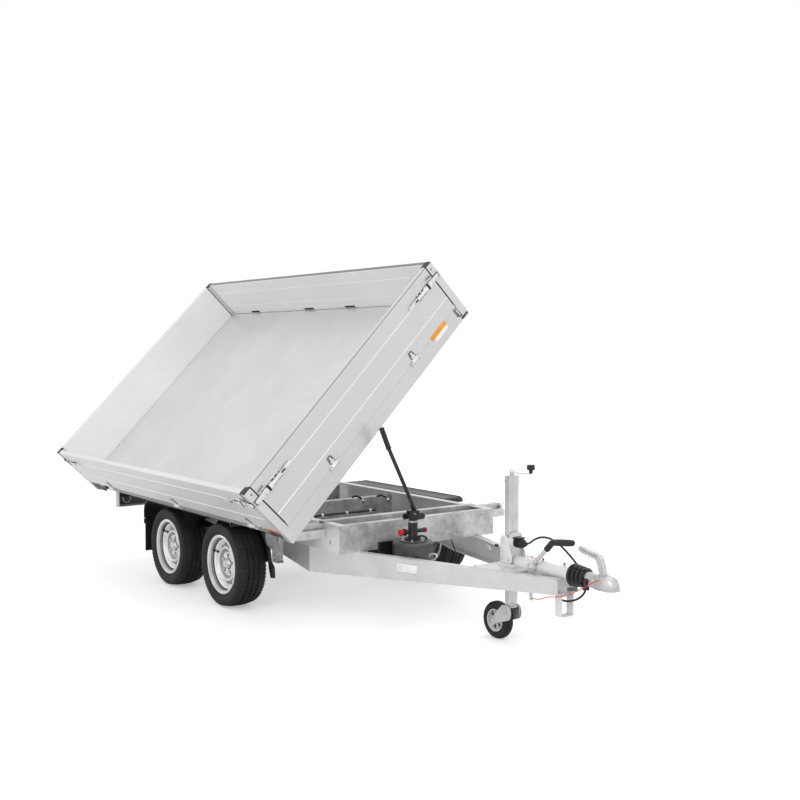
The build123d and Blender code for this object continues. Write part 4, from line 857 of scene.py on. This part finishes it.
# Holes, rivets and foot plates of the corner posts; the holes are closed by near-black discs, painted shade
form = Form(TIPPED)
for sx in (1, -1):
    for sy in (1, -1):
        x, y = BED_X + sx * BED_HALF_L, sy * BED_HALF_W
        form.lathe([(6.4, 0), (6.2, 1.2), (4.8, 1.2), (4.6, 0.2)], (x, y - sy * 28, 1022), (sx, 0, 0), 18)
        form.lathe([(4.7, 0), (4.7, 0.5), (0, 0.5)], (x, y - sy * 28, 1022), (sx, 0, 0), 18, 1)
        rivet = [(4.6, 0), (4.4, 1.2), (2.8, 2.2), (0, 2.4)]
        for z in (752, 668):
            form.lathe(rivet, (x, y - sy * 24, z), (sx, 0, 0), 14)
            form.lathe(rivet, (x - sx * 22, y, z), (0, sy, 0), 14)
        foot = [(x - sx * u, y - sy * v) for u, v in ((2, 2), (43, 2), (43, 46), (2, 46))]
        form.plate(foot, "Z", BED_BOTTOM - 5, BED_BOTTOM + 0.4, 1.4)
        u, v = x - sx * 22, y - sy * 24
        form.rod((u, v, 628), (u, v, 635), 9, count=20, edge=1.5)
form.done("post_fittings", "bed", [ZINC, BLACK_AND_SHADE])

# Left board's lashing slots along its foot, seen from the load side
form = Form(SIDES["left"])
for x in (-1010, -227, 300):
    form.box((-31.2, -29.6), (-(x - 62), -(x + 62)), (20, 36), 0.7)
    for s in (-1, 1):
        form.box((-32.2, -30), (-(x + s * 62), -(x + s * 70)), (17, 39), 0.5, look=1)
form.done("lashing_slots", "board_left", [SEAL, BOARD_SIDE])
form = Form(SIDES["right"])
form.lathe([(5, 0), (4.8, 0.8), (0, 0.9)], (0, -1329, 114), ALONG, 16)
form.done("board_stud", "board_right", [BLACK_AND_SHADE])

# Bare patch in orange and white on the front sill, where the real one has a sticker
form = Form(SIDES["front"])
form.box((0.9, 1.7), (574, 722), (-20, 8), 0.25)
form.box((0.9, 1.7), (590, 716), (-46, -21), 0.25, look=1)
form.done("front_patch", "bed", [ORANGE, PAPER])
# Folded plate and stop at the front left corner of the sill
form = Form(SIDES["front"])
# Plate in the darker zinc copy (painted shade), its inner strip in the lighter one (painted highlight)
form.plate([(812, -2), (841, -2), (845, -74), (820, -62), (812, -54)], "X", -0.4, 3.8, 0.8, 0)
form.plate([(826, -8), (833, -8), (836, -58), (829, -54)], "X", 3.6, 5.2, 0.6, 1)
form.box((-0.4, 5), (830, 888), (-88, -79), 0.8, look=2)
form.done("corner_plate", "bed", [LATCH_SHADE, LATCH_HIGHLIGHT, BLACK])


# Chassis

BEAM_Y, BAR_Y, BAR_FRONT, BAR_REAR = 579.0, 75.0, 2471.0, 919.0


def slant(x):
    """Distance of a drawbar beam's outer face from the centre line."""
    return BAR_Y + (BAR_FRONT - x) * (BEAM_Y - BAR_Y) / (BAR_FRONT - BAR_REAR)


# Bolts, hooks, ring pins and lugs of the frame
form = Form()
for s in (1, -1):
    for x, z in (
        (1238, 572), (1238, 434), (700, 470), (700, 536), (420, 470), (-330, 536), (-330, 470), (-1040, 536),
    ):
        form.bolt((x, s * BEAM_Y, z), (0, s, 0), 5.5)
    for y, z in ((566, 571), (566, 435), (300, 566), (300, 440)):
        form.bolt((1247, s * y, z), ALONG, 4.5)
    for x in (1254, 1303):
        form.bolt((x, s * (slant(x) - 20), 423), UP, 7)
    for x in (1990, 2150):
        form.bolt((x, s * (slant(x) - 24), 431), UP, 7)
    # Spring hook in the slot of each side beam
    form.box((1141, 1151), (s * 578.5, s * 579.8), (464, 491), 2, 2)
    hook = [(1147, 579, 490), (1150, 583, 484), (1143, 583, 477), (1150, 583, 470), (1146, 579, 463)]
    form.tube([(x, s * y, z) for x, y, z in hook], 2.4, 8)
    # Plate on the front side of each front tip bearing, with its ring pin
    sheet = [(583, 500), (740, 496), (800, 500), (806, 530), (792, 546), (600, 548), (583, 552)]
    form.plate([(s * y, z) for y, z in sheet], "X", 1094, 1102, 1.2, 1)
    for y in (772, 700):
        form.bolt((1102, s * y, 522), ALONG, 7)
    form.rod((1098, s * 779, 544), (1098, s * 779, 570), 5, count=16, look=2 if s < 0 else 0)
    form.tube([(1098, y, z) for y, z in arc(s * 779, 584, round_turn(24), 15)], 2.6, 10, 0, closed=True)
    # Lugs and clamps along the top of the drawbar
    form.box((1584, 1606), (s * 288, s * 304), (423, 437), 3, 2)
    clamp = [(1602, 214, 423), (1606, 210, 440), (1640, 198, 442), (1652, 196, 424)]
    form.tube([(x, s * y, z) for x, y, z in clamp], 4, 10)
form.done("frame_fittings", "chassis", [ZINC, GALV, BLACK])

# Bare plate on the right drawbar beam
turn = moved(1588, -slant(1588), 371) @ turned(atan2(BEAM_Y - BAR_Y, BAR_FRONT - BAR_REAR), "Z")
form = Form()
form.box((-66, 66), (-1.0, 0.6), (-21, 21), 0.4, 0, turn)
form.box((-60, 60), (-1.5, -0.9), (-16, 16), 0.4, 1, turn)
form.done("bare_plate", "chassis", [PAPER, LENS_WHITE])

# Pipes and clamps on the inner cross members
form = Form()
form.tube([(404, -215, 500), (408, -100, 503), (402, 60, 500), (406, 262, 501)], 8, 12)
for y in (-160, 30, 220):
    form.lathe([(11, -9), (12, -8), (12, 8), (11, 9)], (405, y, 501), ACROSS, 18, 1)
for x, y in ((361, 137), (420, 300)):
    form.tube([(x - 30, y - 10, 588), (x, y, 602), (x + 40, y + 18, 586), (x + 62, y + 20, 560)], 6.5, 12)
    form.lathe([(8.4, -8), (9, -7), (9, 7), (8.4, 8)], (x + 50, y + 19, 574), (0.5, 0.1, -0.8), 16, 1)
form.tube([(1139, 323, 398), (1180, 300, 386), (1240, 270, 352), (1285, 251, 328)], 4, 10)
form.done("pipes", "chassis", [RUBBER, ZINC])

# Dark grey sheet lining the rear beam's channel, painted shade for its shaded inside, with cables and grommets
form = Form()
for s in (1, -1):
    shade_sheet = [(s * 798, 408), (s * 560, 408), (s * 560, 506), (s * 798, 506)]
    form.plate(shade_sheet, "X", -1444.8, -1442, 0.8, 0)
    cable = [(-1438, 790, 488), (-1434, 742, 470), (-1438, 690, 486), (-1434, 640, 480), (-1438, 596, 492)]
    form.tube([(x, s * y, z) for x, y, z in cable], 6, 12, 1)
    form.tube([(-1438, s * 780, 500), (-1430, s * 700, 498), (-1438, s * 610, 470)], 4.5, 12, 1)
    sweep = [pi * (0.95 + 1.1 * k / 20) for k in range(21)]
    form.tube([(-1432, y, z) for y, z in arc(s * 730, 462, sweep, 30, 38)], 3, 10, 2, rounds=0)
    form.ball((-1434, s * 668, 488), 12, 1)
    # End plate with its bolts
    cover = [(-1450, 398), (-1402, 398), (-1398, 402), (-1398, 514), (-1402, 518), (-1450, 518)]
    form.plate(cover, "Y", s * 805, s * 809, 1.0, 3)
    for z in (414, 502):
        form.bolt((-1424, s * 809, z), (0, s, 0), 5, 2)
form.done("rear_beam_wiring", "chassis", [SHADE_TRAY, RUBBER, ZINC, GALV])

# Lenses and screws of the rear lamps
form = Form()
for s in (1, -1):
    for y0, y1, look in ((564, 634, 0), (636, 706, 1), (708, 776, 2)):
        form.box((-1497.6, -1490), (s * y0, s * y1), (416, 500), 3, look)
        for k in range(7):
            z = 424 + 10.5 * k
            form.box((-1498.6, -1496), (s * (y0 + 6), s * (y1 - 6)), (z, z + 5.5), 1.2, look)
    form.box((-1491, -1446), (s * 558, s * 782), (406, 510), 4, 3)
    for y in (635, 707):
        form.lathe([(3.4, 0), (3.2, 1), (0, 1.6)], (-1497.4, s * y, 458), (-1, 0, 0), 12, 4)
form.done("lamp_lenses", "chassis", [LENS_RED, LENS_AMBER, LENS_WHITE, BLACK, ZINC])

# Liners between the wheels and ahead of them, seen through the gaps beside the tyres; near-black, painted
# shade under the mudguards
form = Form()
for s in (1, -1):
    sweep = [radians(a) for a in range(88, 7, -4)]
    lip = arc(AXLE_X, TYRE_R, sweep, 285.5) + arc(AXLE_X, TYRE_R, sweep[::-1], 268.5)
    form.plate(lip, "Y", s * 690, s * 714, 0.6, 0)
    for pair in zip(sweep, sweep[1:]):
        (a, b), (d, c) = arc(AXLE_X, TYRE_R, pair, 200), arc(AXLE_X, TYRE_R, pair, 285.5)
        form.plate([a, d, c, b], "Y", s * 685, s * 692, 0.0, 0)
    valley = [(-150, 549), (150, 549), (96, 502), (62, 452), (40, 440), (-40, 440), (-62, 452), (-96, 502)]
    form.plate(valley, "Y", s * 694, s * 900, 3, 0)
    form.plate([(s * 745, 505), (s * 850, 505), (s * 786, 466), (s * 768, 466)], "X", 96, 100, 0.8, 1)
    form.bolt((100, s * 772, 492), ALONG, 5, 1)
    # Bolts on the flap and on the outer side
    for z in (388, 408):
        for y in (720, 880):
            form.bolt((-716, s * y, z), (-1, 0, 0), 4.5, 1)
    form.lathe([(6, 0), (5.6, 1.4), (0, 2.2)], (-700, s * 905, 416), (0, s, 0), 16, 1)
    # Raised rim along the outer edge of the sheet
    rim = [
        (-720, 378), (-720, 458), (-706, 506), (-672, 538), (-625, 552), (528, 552), (549, 545), (560, 521),
    ]
    form.tube([(x, s * 900.6, z) for x, z in rim], 4.2, 10)
form.done("guard_liners", "chassis", [GUARD_UNDERSIDE_SHADE, GALV])

# Bolts, hooks and folded edges of the plates ahead of the mudguards; the folded edges in the darker galvanised
# copy, painted shade
form = Form()
for s in (1, -1):
    for x, z in ((733, 474), (826, 474), (826, 360)):
        form.bolt((x, s * 760, z), (0, s, 0), 5)
    hook = [(849, 744, 488), (862, 748, 486), (866, 748, 462), (856, 748, 452), (849, 746, 460)]
    form.tube([(x, s * y, z) for x, y, z in hook], 3.4, 10)
    form.plate([(795, 340), (848, 340), (862, 334), (862, 331), (800, 331)], "Y", s * 717, s * 760, 1.0, 1)
form.done("front_plate_fittings", "chassis", [ZINC, GALV_SHADED])


# Pump

# Seams and bolted lid of the tank
form = Form()
X, Y = 1385.0, -165.0
for z in (462, 338):
    form.lathe([(118.4, -3), (119.6, -2), (119.6, 2), (118.4, 3)], (X, Y, z), UP, 64, closed=True)
form.lathe([(79, 0), (81, 1.2), (81, 4.4), (76, 6.6), (60, 7.0)], (X, Y, 476), UP)
for x, y in arc(X, Y, round_turn(6, 20), 66):
    form.bolt((x, y, 482), UP, 6, 1)
for x, y in arc(X, Y, round_turn(4, 45), 36):
    form.bolt((x, y, 494), UP, 4.5, 2)
# Silver collar, black clevis and the two valve knobs
form.lathe([(20, 0), (23.5, 1), (23.5, 28), (20, 30)], (X, Y, 566), UP, 36, 1)
form.lathe([(24, 0), (26.8, 1.5), (26.8, 6), (24, 8)], (X, Y, 589), UP, 36, 1)
form.lathe([(18, 0), (19, 1), (19, 16), (17, 18), (0, 18.4)], (X, Y - 78, 532), (0, -1, 0), 12, 3)
form.lathe([(14, 0), (15, 1), (15, 15), (13, 17), (0, 17.3)], (X, Y + 80, 532), ACROSS, 12, 4)
form.lathe([(20, 0), (22, 2), (22, 12), (19, 14)], (X, Y - 52, 532), (0, -1, 0), 6, 2)
form.rod((X - 34, Y - 8, 632), (X + 34, Y - 8, 632), 8, count=20, edge=1.5, look=1)
foot = [(X - 40, Y - 44), (X - 28, Y - 50), (X - 24, Y + 46), (X - 34, Y + 52), (X - 44, Y + 20)]
form.plate(foot, "Z", 604, 616, 2, 2)
cheek = [(Y - 40, 600), (Y + 58, 604), (Y + 66, 622), (Y + 50, 640), (Y - 46, 634), (Y - 52, 614)]
for x in (X + 27, X - 35):
    form.plate(cheek, "X", x, x + 8, 2, 2)
form.tube([(X, Y + 20, 494), (X + 20, Y + 54, 505), (X + 24, Y + 84, 488), (X + 10, Y + 92, 470)], 6, 12, 2)
form.done("pump_fittings", "chassis", [TANK, ZINC, PUMP, RED, CRIMSON])

# Foot of the pump lever and its ribbed grip
form = Form()
foot, low, top = Vector((X, -154, 655)), Vector((X, -338, 1024)), Vector((X, -386, 1135))
form.rod(foot, foot.lerp(low, 0.09), 15, 13, edge=2)
for k in range(12):
    at = low.lerp(top, 0.06 + 0.075 * k)
    form.lathe([(14, -3.4), (15.2, -2), (15.2, 2), (14, 3.4)], at, top - low, 24)
form.lathe([(14, -4), (16.4, -1), (16.4, 4), (10, 8), (0, 9)], top, top - low, 24)
form.lathe([(11, -6), (16, -3), (16, 3), (11, 6)], low, top - low, 24)
form.done("lever_grip", "chassis", [BLACK])


# Jack and jockey wheel

# Crank: spindle, arm with its ring, and knob
form = Form()
MAST = 2047.0
turn = moved(MAST, 0, 0) @ turned(atan2(41, 105), "Z")
form.lathe([(9, 0), (13, 0.5), (13, 9), (9, 11), (9, 24), (7, 26), (0, 26)], (MAST, 0, 905), UP, 24)
half = [(-12, -9), (-9, -12), (8, -12), (112, -7), (116, 0)]
form.plate(half + [(x, -y) for x, y in half[-2::-1]], "Z", 920, 926, 1.2, 0, turn)
form.tube([(x, 0, z) for x, z in arc(0, 934, round_turn(20), 11)], 2.6, 8, 0, turn=turn, closed=True)
knob = [
    (6, 0), (8.5, 0), (10, 4), (10, 12), (13, 18), (20, 20), (21.5, 24), (21.5, 42), (18, 46), (0, 48),
]
form.lathe(knob, turn @ Vector((112, 0, 925)), UP, 28, 1)
form.done("crank_arm", "chassis", [ZINC, BLACK], ["jack_crank"])

# Top plate, band and bolts of the mast, and the clamp's cheeks, plate and knob
form = Form()
top = [(MAST + u * 20.8, v * 34.8) for u, v in ((-1, -1), (1, -1), (1, 1), (-1, 1))]
form.plate(top, "Z", 905, 907)
for s in (1, -1):
    form.box((MAST - 20.9, MAST + 20.9), (s * 33.4, s * 35), (872, 880), 0.5)
    form.box((MAST + s * 19.4, MAST + s * 21), (-34.9, 34.9), (872, 880), 0.5)
form.bolt((MAST - 8, -34, 890), (0, -1, 0), 5)
for s in (1, -1):
    cheek = [
        (2012, 438), (2012, 566), (2026, 586), (2052, 590), (2066, 580), (2104, 486), (2104, 452), (2090, 438),
    ]
    form.plate(cheek, "Y", s * 46.5, s * 51, 1.0, 1)
    for x, z in ((2030, 466), (2080, 458), (2038, 560)):
        form.bolt((x, s * 51, z), (0, s, 0), 6.5)
form.plate([(-44, 500), (44, 500), (44, 590), (30, 604), (-30, 604), (-44, 590)], "X", 2079.5, 2083, 1.0, 1)
for y, z in ((-34, 512), (34, 512), (34, 584)):
    form.bolt((2083, y, z), ALONG, 5)
form.lathe([(9, 0), (14, 2), (14, 7), (6, 9), (6, 22), (0, 24)], (2045, 62, 551), ACROSS, 24, 2)
form.done("jack_fittings", "chassis", [ZINC, WHITE, BLACK])

# Plug: ribbed body, hinged lid and gland
form = Form()
for k in range(7):
    rib = [(24.6, -1.8), (26.8, -1.2), (26.8, 1.2), (24.6, 1.8)]
    form.lathe(rib, (2112 + 5.4 * k, -20, 556), ALONG, 36)
cone = [(25, 0), (25, 8), (21, 18), (14, 21), (12, 34), (9, 38), (6.5, 40)]
form.lathe(cone, (2148, -20, 556), ALONG, 32)
for k in range(5):
    form.lathe([(11, -1.4), (12.8, -1), (12.8, 1), (11, 1.4)], (2163 + 4 * k, -20, 556), ALONG, 24)
form.plate([(2100, -46), (2150, -46), (2156, -38), (2156, -2), (2150, 6), (2100, 6)], "Z", 580, 586, 2, 0)
form.rod((2104, -50, 580), (2104, 10, 580), 5, count=16, look=1)
form.done("plug_ribs", "chassis", [BLACK, ZINC])

# Jockey wheel, its spoked rim and solid tyre
JOCKEY_X, JOCKEY_R = 1942.0, 103.0
form = Form(GROUND @ moved(JOCKEY_X, 0, JOCKEY_R))
half = [
    (62, 22), (66, 24), (72, 26.4), (74, 25.8), (76, 27), (86, 28), (92, 26.5), (97, 22),
    (100.6, 14), (101.4, 12.4), (102.4, 12), (JOCKEY_R, 4),
]
form.ring(both_sides(half))
form.done("jockey_rubber", "jockey_wheel", [TYRE], ["jockey_tyre"])
form = Form(GROUND @ moved(JOCKEY_X, 0, JOCKEY_R))
form.ring(both_sides([(61.6, 22), (61.6, 27), (58, 27.8), (54, 26), (50, 12), (49, 5)]), 60)
form.ring(both_sides([(8.2, 28), (17, 28), (19, 26), (20, 8)]), 40)
# Near-black web between hub and rim, painted shade seen between the spokes
form.ring([(19, 4), (50.5, 4), (50.5, -4), (19, -4)], 48, look=1)
for a in round_turn(6, 14):
    spin = turned(a, "Y")
    for s in (1, -1):
        form.plate([(18, -8), (52, -10), (52, 10), (18, 8)], "Y", s * 3, s * 15, 1.6, 0, spin)
form.done("jockey_spokes", "jockey_wheel", [RIM_GREY, BLACK_AND_SHADE], ["jockey_rim"])

# Rounded cheeks, crown and axle bolt over the caster fork
form = Form()
for s in (1, -1):
    head = arc(2056, 165, [radians(a) for a in range(-60, 150, 15)], 31, 42)
    form.plate(head + [(1932, 118), (1924, 104), (1930, 90), (1946, 86)], "Y", s * 37.2, s * 40.6, 1.0)
    form.bolt((JOCKEY_X, s * 40.6, JOCKEY_R), (0, s, 0), 9)
    form.lathe([(7, 0), (6.6, 1.6), (4, 2.6), (0, 2.8)], (2050, s * 40.6, 178), (0, s, 0), 18)
    form.lathe([(5, 0), (4.6, 1.4), (0, 2)], (2066, s * 40.6, 146), (0, s, 0), 18)
crown = [(25, -8), (33, -6.5), (34, -1), (30, 2.4), (25, 2.6)]
form.lathe(crown, (MAST, 0, 202), UP, 40, closed=True)
form.done("fork_cheeks", "jockey_fork", [ZINC])


# Overrun device and coupling

# Sleeve, collar, nipples and bolts of the overrun tube, and the end caps at its front
form = Form()
form.lathe([(30, 0), (33, 3), (33, 150), (31, 152)], (2086, 0, 446), ALONG, 40)
form.lathe([(34.5, 0), (35.5, 1), (35.5, 21), (34.5, 22)], (2236, 0, 446), ALONG, 40, 1)
for x in (2290, 2446):
    form.lathe([(7, 0), (7, 6), (4, 7), (4, 10)], (x, 0, 478.5), UP, 6, 1)
    form.lathe([(5, 9), (6, 10), (6, 17), (3.5, 19), (0, 19.4)], (x, 0, 478.5), UP, 16, 2)
for x in (2285, 2425):
    for s in (1, -1):
        form.bolt((x, s * 42, 414), UP, 8, 1)
for s in (1, -1):
    for z in (392, 352):
        form.bolt((2470, s * 30, z - 16), ALONG, 5.5, 1)
    cap = [(9, 0), (12, 1), (13, 5), (13, 13), (10, 16), (0, 17)]
    form.lathe(cap, (2628, s * 28, 439 if s < 0 else 446), (0, s, 0), 20, 3)
form.lathe([(8, 0), (11, 1), (12, 5), (12, 13), (9, 16), (0, 17)], (2628, -33, 402), (0, -1, 0), 20, 3)
form.box((2616, 2640), (-34, -20), (392, 440), 2, 3)
form.done("overrun_fittings", "chassis", [WHITE, ZINC, RED, BLACK])

# Shell of the coupling head, open below, around the socket
form = Form()
# Columns: X, half-width, bottom, top
sections = (
    (2612, 31.5, 415, 478), (2642, 31, 414, 476), (2664, 31.5, 411, 473), (2690, 35, 409, 473),
    (2716, 39, 408.6, 477), (2742, 41.5, 408.6, 480), (2764, 41, 408.6, 478), (2782, 36, 408.6, 470),
    (2795, 27.5, 408.6, 456), (2802, 17, 409, 440),
)
ARCH = 21
verts = []
for x, wide, low, high in sections:
    for k in range(ARCH):
        t = pi * k / (ARCH - 1)
        y = wide * (abs(cos(t)) ** 0.72) * (1 if cos(t) >= 0 else -1)
        verts.append((x, y, low + (high - low) * sin(t) ** 0.62))
last = len(verts) - ARCH
starts = [i + k for i in range(0, last, ARCH) for k in range(ARCH - 1)]
faces = [(i, i + ARCH, i + ARCH + 1, i + 1) for i in starts]
form.put(verts, faces + [tuple(range(last, len(verts)))])
lip = [(2688, -37), (2720, -42), (2746, -44), (2772, -42), (2787, -33), (2798, -17), (2800, 0)]
form.tube([(x, y, 411.5) for x, y in lip + [(x, -y) for x, y in lip[-2::-1]]], 3.4, 10)
for s in (1, -1):
    form.bolt((2676, s * 33, 447), (0, s, 0), 8, 1)
    form.bolt((2712, s * 35, 465), (0, s, 0), 5, 1)
# Rounded back and ribs over the handle
grip = [(2556, 585), (2562, 592), (2640, 577), (2688, 567), (2700, 550), (2716, 508), (2722, 484)]
form.tube([(x, 0, z) for x, z in grip], 11, 14)
form.ball((2563, 0, 585), 14.5, 0, (1, 0.95, 0.9))
for k in range(5):
    x = 2580 + 22 * k
    z = 588 - (x - 2566) * 0.194
    form.plate([(x - 2, z - 20), (x + 2, z - 20), (x + 2.6, z - 2), (x - 2.6, z - 2)], "Y", -14.2, 14.2)
form.done("head_shell", "chassis", [CAST, ZINC])

# Grip of the handbrake lever with its button
form = Form()
elbow, tip = Vector((2403, -45, 600)), Vector((2542, -45, 617))
form.tube([(2362, -45, 558), (2379, -45, 574), elbow, tip], 16.5, 18)
for k in range(9):
    p = elbow.lerp(tip, 0.22 + 0.08 * k)
    form.lathe([(16.4, -3), (17.6, -1.6), (17.6, 1.6), (16.4, 3)], p, tip - elbow, 22)
form.ball(tip, 16, 0)
form.lathe([(9, 0), (8.6, 2), (0, 3)], elbow.lerp(tip, 0.5) + Vector((0, 0, 15.5)), UP, 18, 1)
form.lathe([(19, -12), (24, -10), (24, 10), (19, 12)], (2254, -45, 450), ACROSS, 32, 2)
form.bolt((2254, -57, 450), (0, -1, 0), 9, 2)
form.tube([(2254, -30, 470), (2300, -30, 500), (2352, -38, 545)], 5, 12, 2)
form.done("brake_grip", "chassis", [BLACK, RED, ZINC])


# Stage and light

PURE_WHITE = (1, 1, 1, 1)
FLOOR_REACH, FLOOR_Z = 40, -0.439
floor_mesh = bpy.data.meshes.new("floor")
corners = [(x * FLOOR_REACH, y * FLOOR_REACH, FLOOR_Z) for x, y in ((-1, -1), (1, -1), (1, 1), (-1, 1))]
floor_mesh.from_pydata(corners, [], [(0, 1, 2, 3)])
floor = bpy.data.objects.new("floor", floor_mesh)
scene.collection.objects.link(floor)
# The floor reflects light as a pale card does; the camera sees it a little brighter
floor_look = bpy.data.materials.new("floor_pale")
floor_look.use_nodes = True
tree = floor_look.node_tree
card = tree.nodes["Principled BSDF"]
card.inputs["Base Color"].default_value = (0.86, 0.86, 0.86, 1)
card.inputs["Roughness"].default_value = 0.9
card.inputs["Specular IOR Level"].default_value = 0.1
rays = shader(tree, "LightPath").outputs
glow = shader(tree, "Emission", Color=PURE_WHITE, Strength=0.36)
lit = shader(tree, "AddShader", card.outputs[0], glow.outputs[0])
pick = shader(tree, "MixShader", rays["Is Camera Ray"], card.outputs[0], lit.outputs[0])
tree.links.new(pick.outputs[0], tree.nodes["Material Output"].inputs["Surface"])
floor_mesh.materials.append(floor_look)

# White to the camera and in reflections, a little dimmer as a light
world = bpy.data.worlds.new("studio")
world.use_nodes = True
scene.world = world
tree = world.node_tree
base = tree.nodes["Background"]
base.inputs["Color"].default_value = PURE_WHITE
base.inputs["Strength"].default_value = 0.86
white = shader(tree, "Background", Color=PURE_WHITE, Strength=1.0)
rays = shader(tree, "LightPath").outputs
seen = shader(tree, "Math", rays["Is Camera Ray"], rays["Is Glossy Ray"])
seen.operation = "MAXIMUM"
seen_through = shader(tree, "Math", seen.outputs[0], rays["Is Transmission Ray"])
seen_through.operation = "MAXIMUM"
pick = shader(tree, "MixShader", seen_through.outputs[0], base.outputs[0], white.outputs[0])
tree.links.new(pick.outputs[0], tree.nodes["World Output"].inputs["Surface"])


def soft_lamp(name, place, target, size, power):
    lamp = bpy.data.lights.new(name, "AREA")
    lamp.shape = "RECTANGLE"
    lamp.size, lamp.size_y = size
    lamp.energy = power
    holder = bpy.data.objects.new(name, lamp)
    holder.location = place
    holder.rotation_euler = (Vector(place) - Vector(target)).to_track_quat("Z", "Y").to_euler()
    scene.collection.objects.link(holder)


soft_lamp("key", (3.0, -6.0, 5.0), (-2.0, 0, 0.0), (5, 4), 170)
soft_lamp("top", (-3.0, 2.0, 7.0), (-2.5, 0, 0.3), (7, 6), 110)
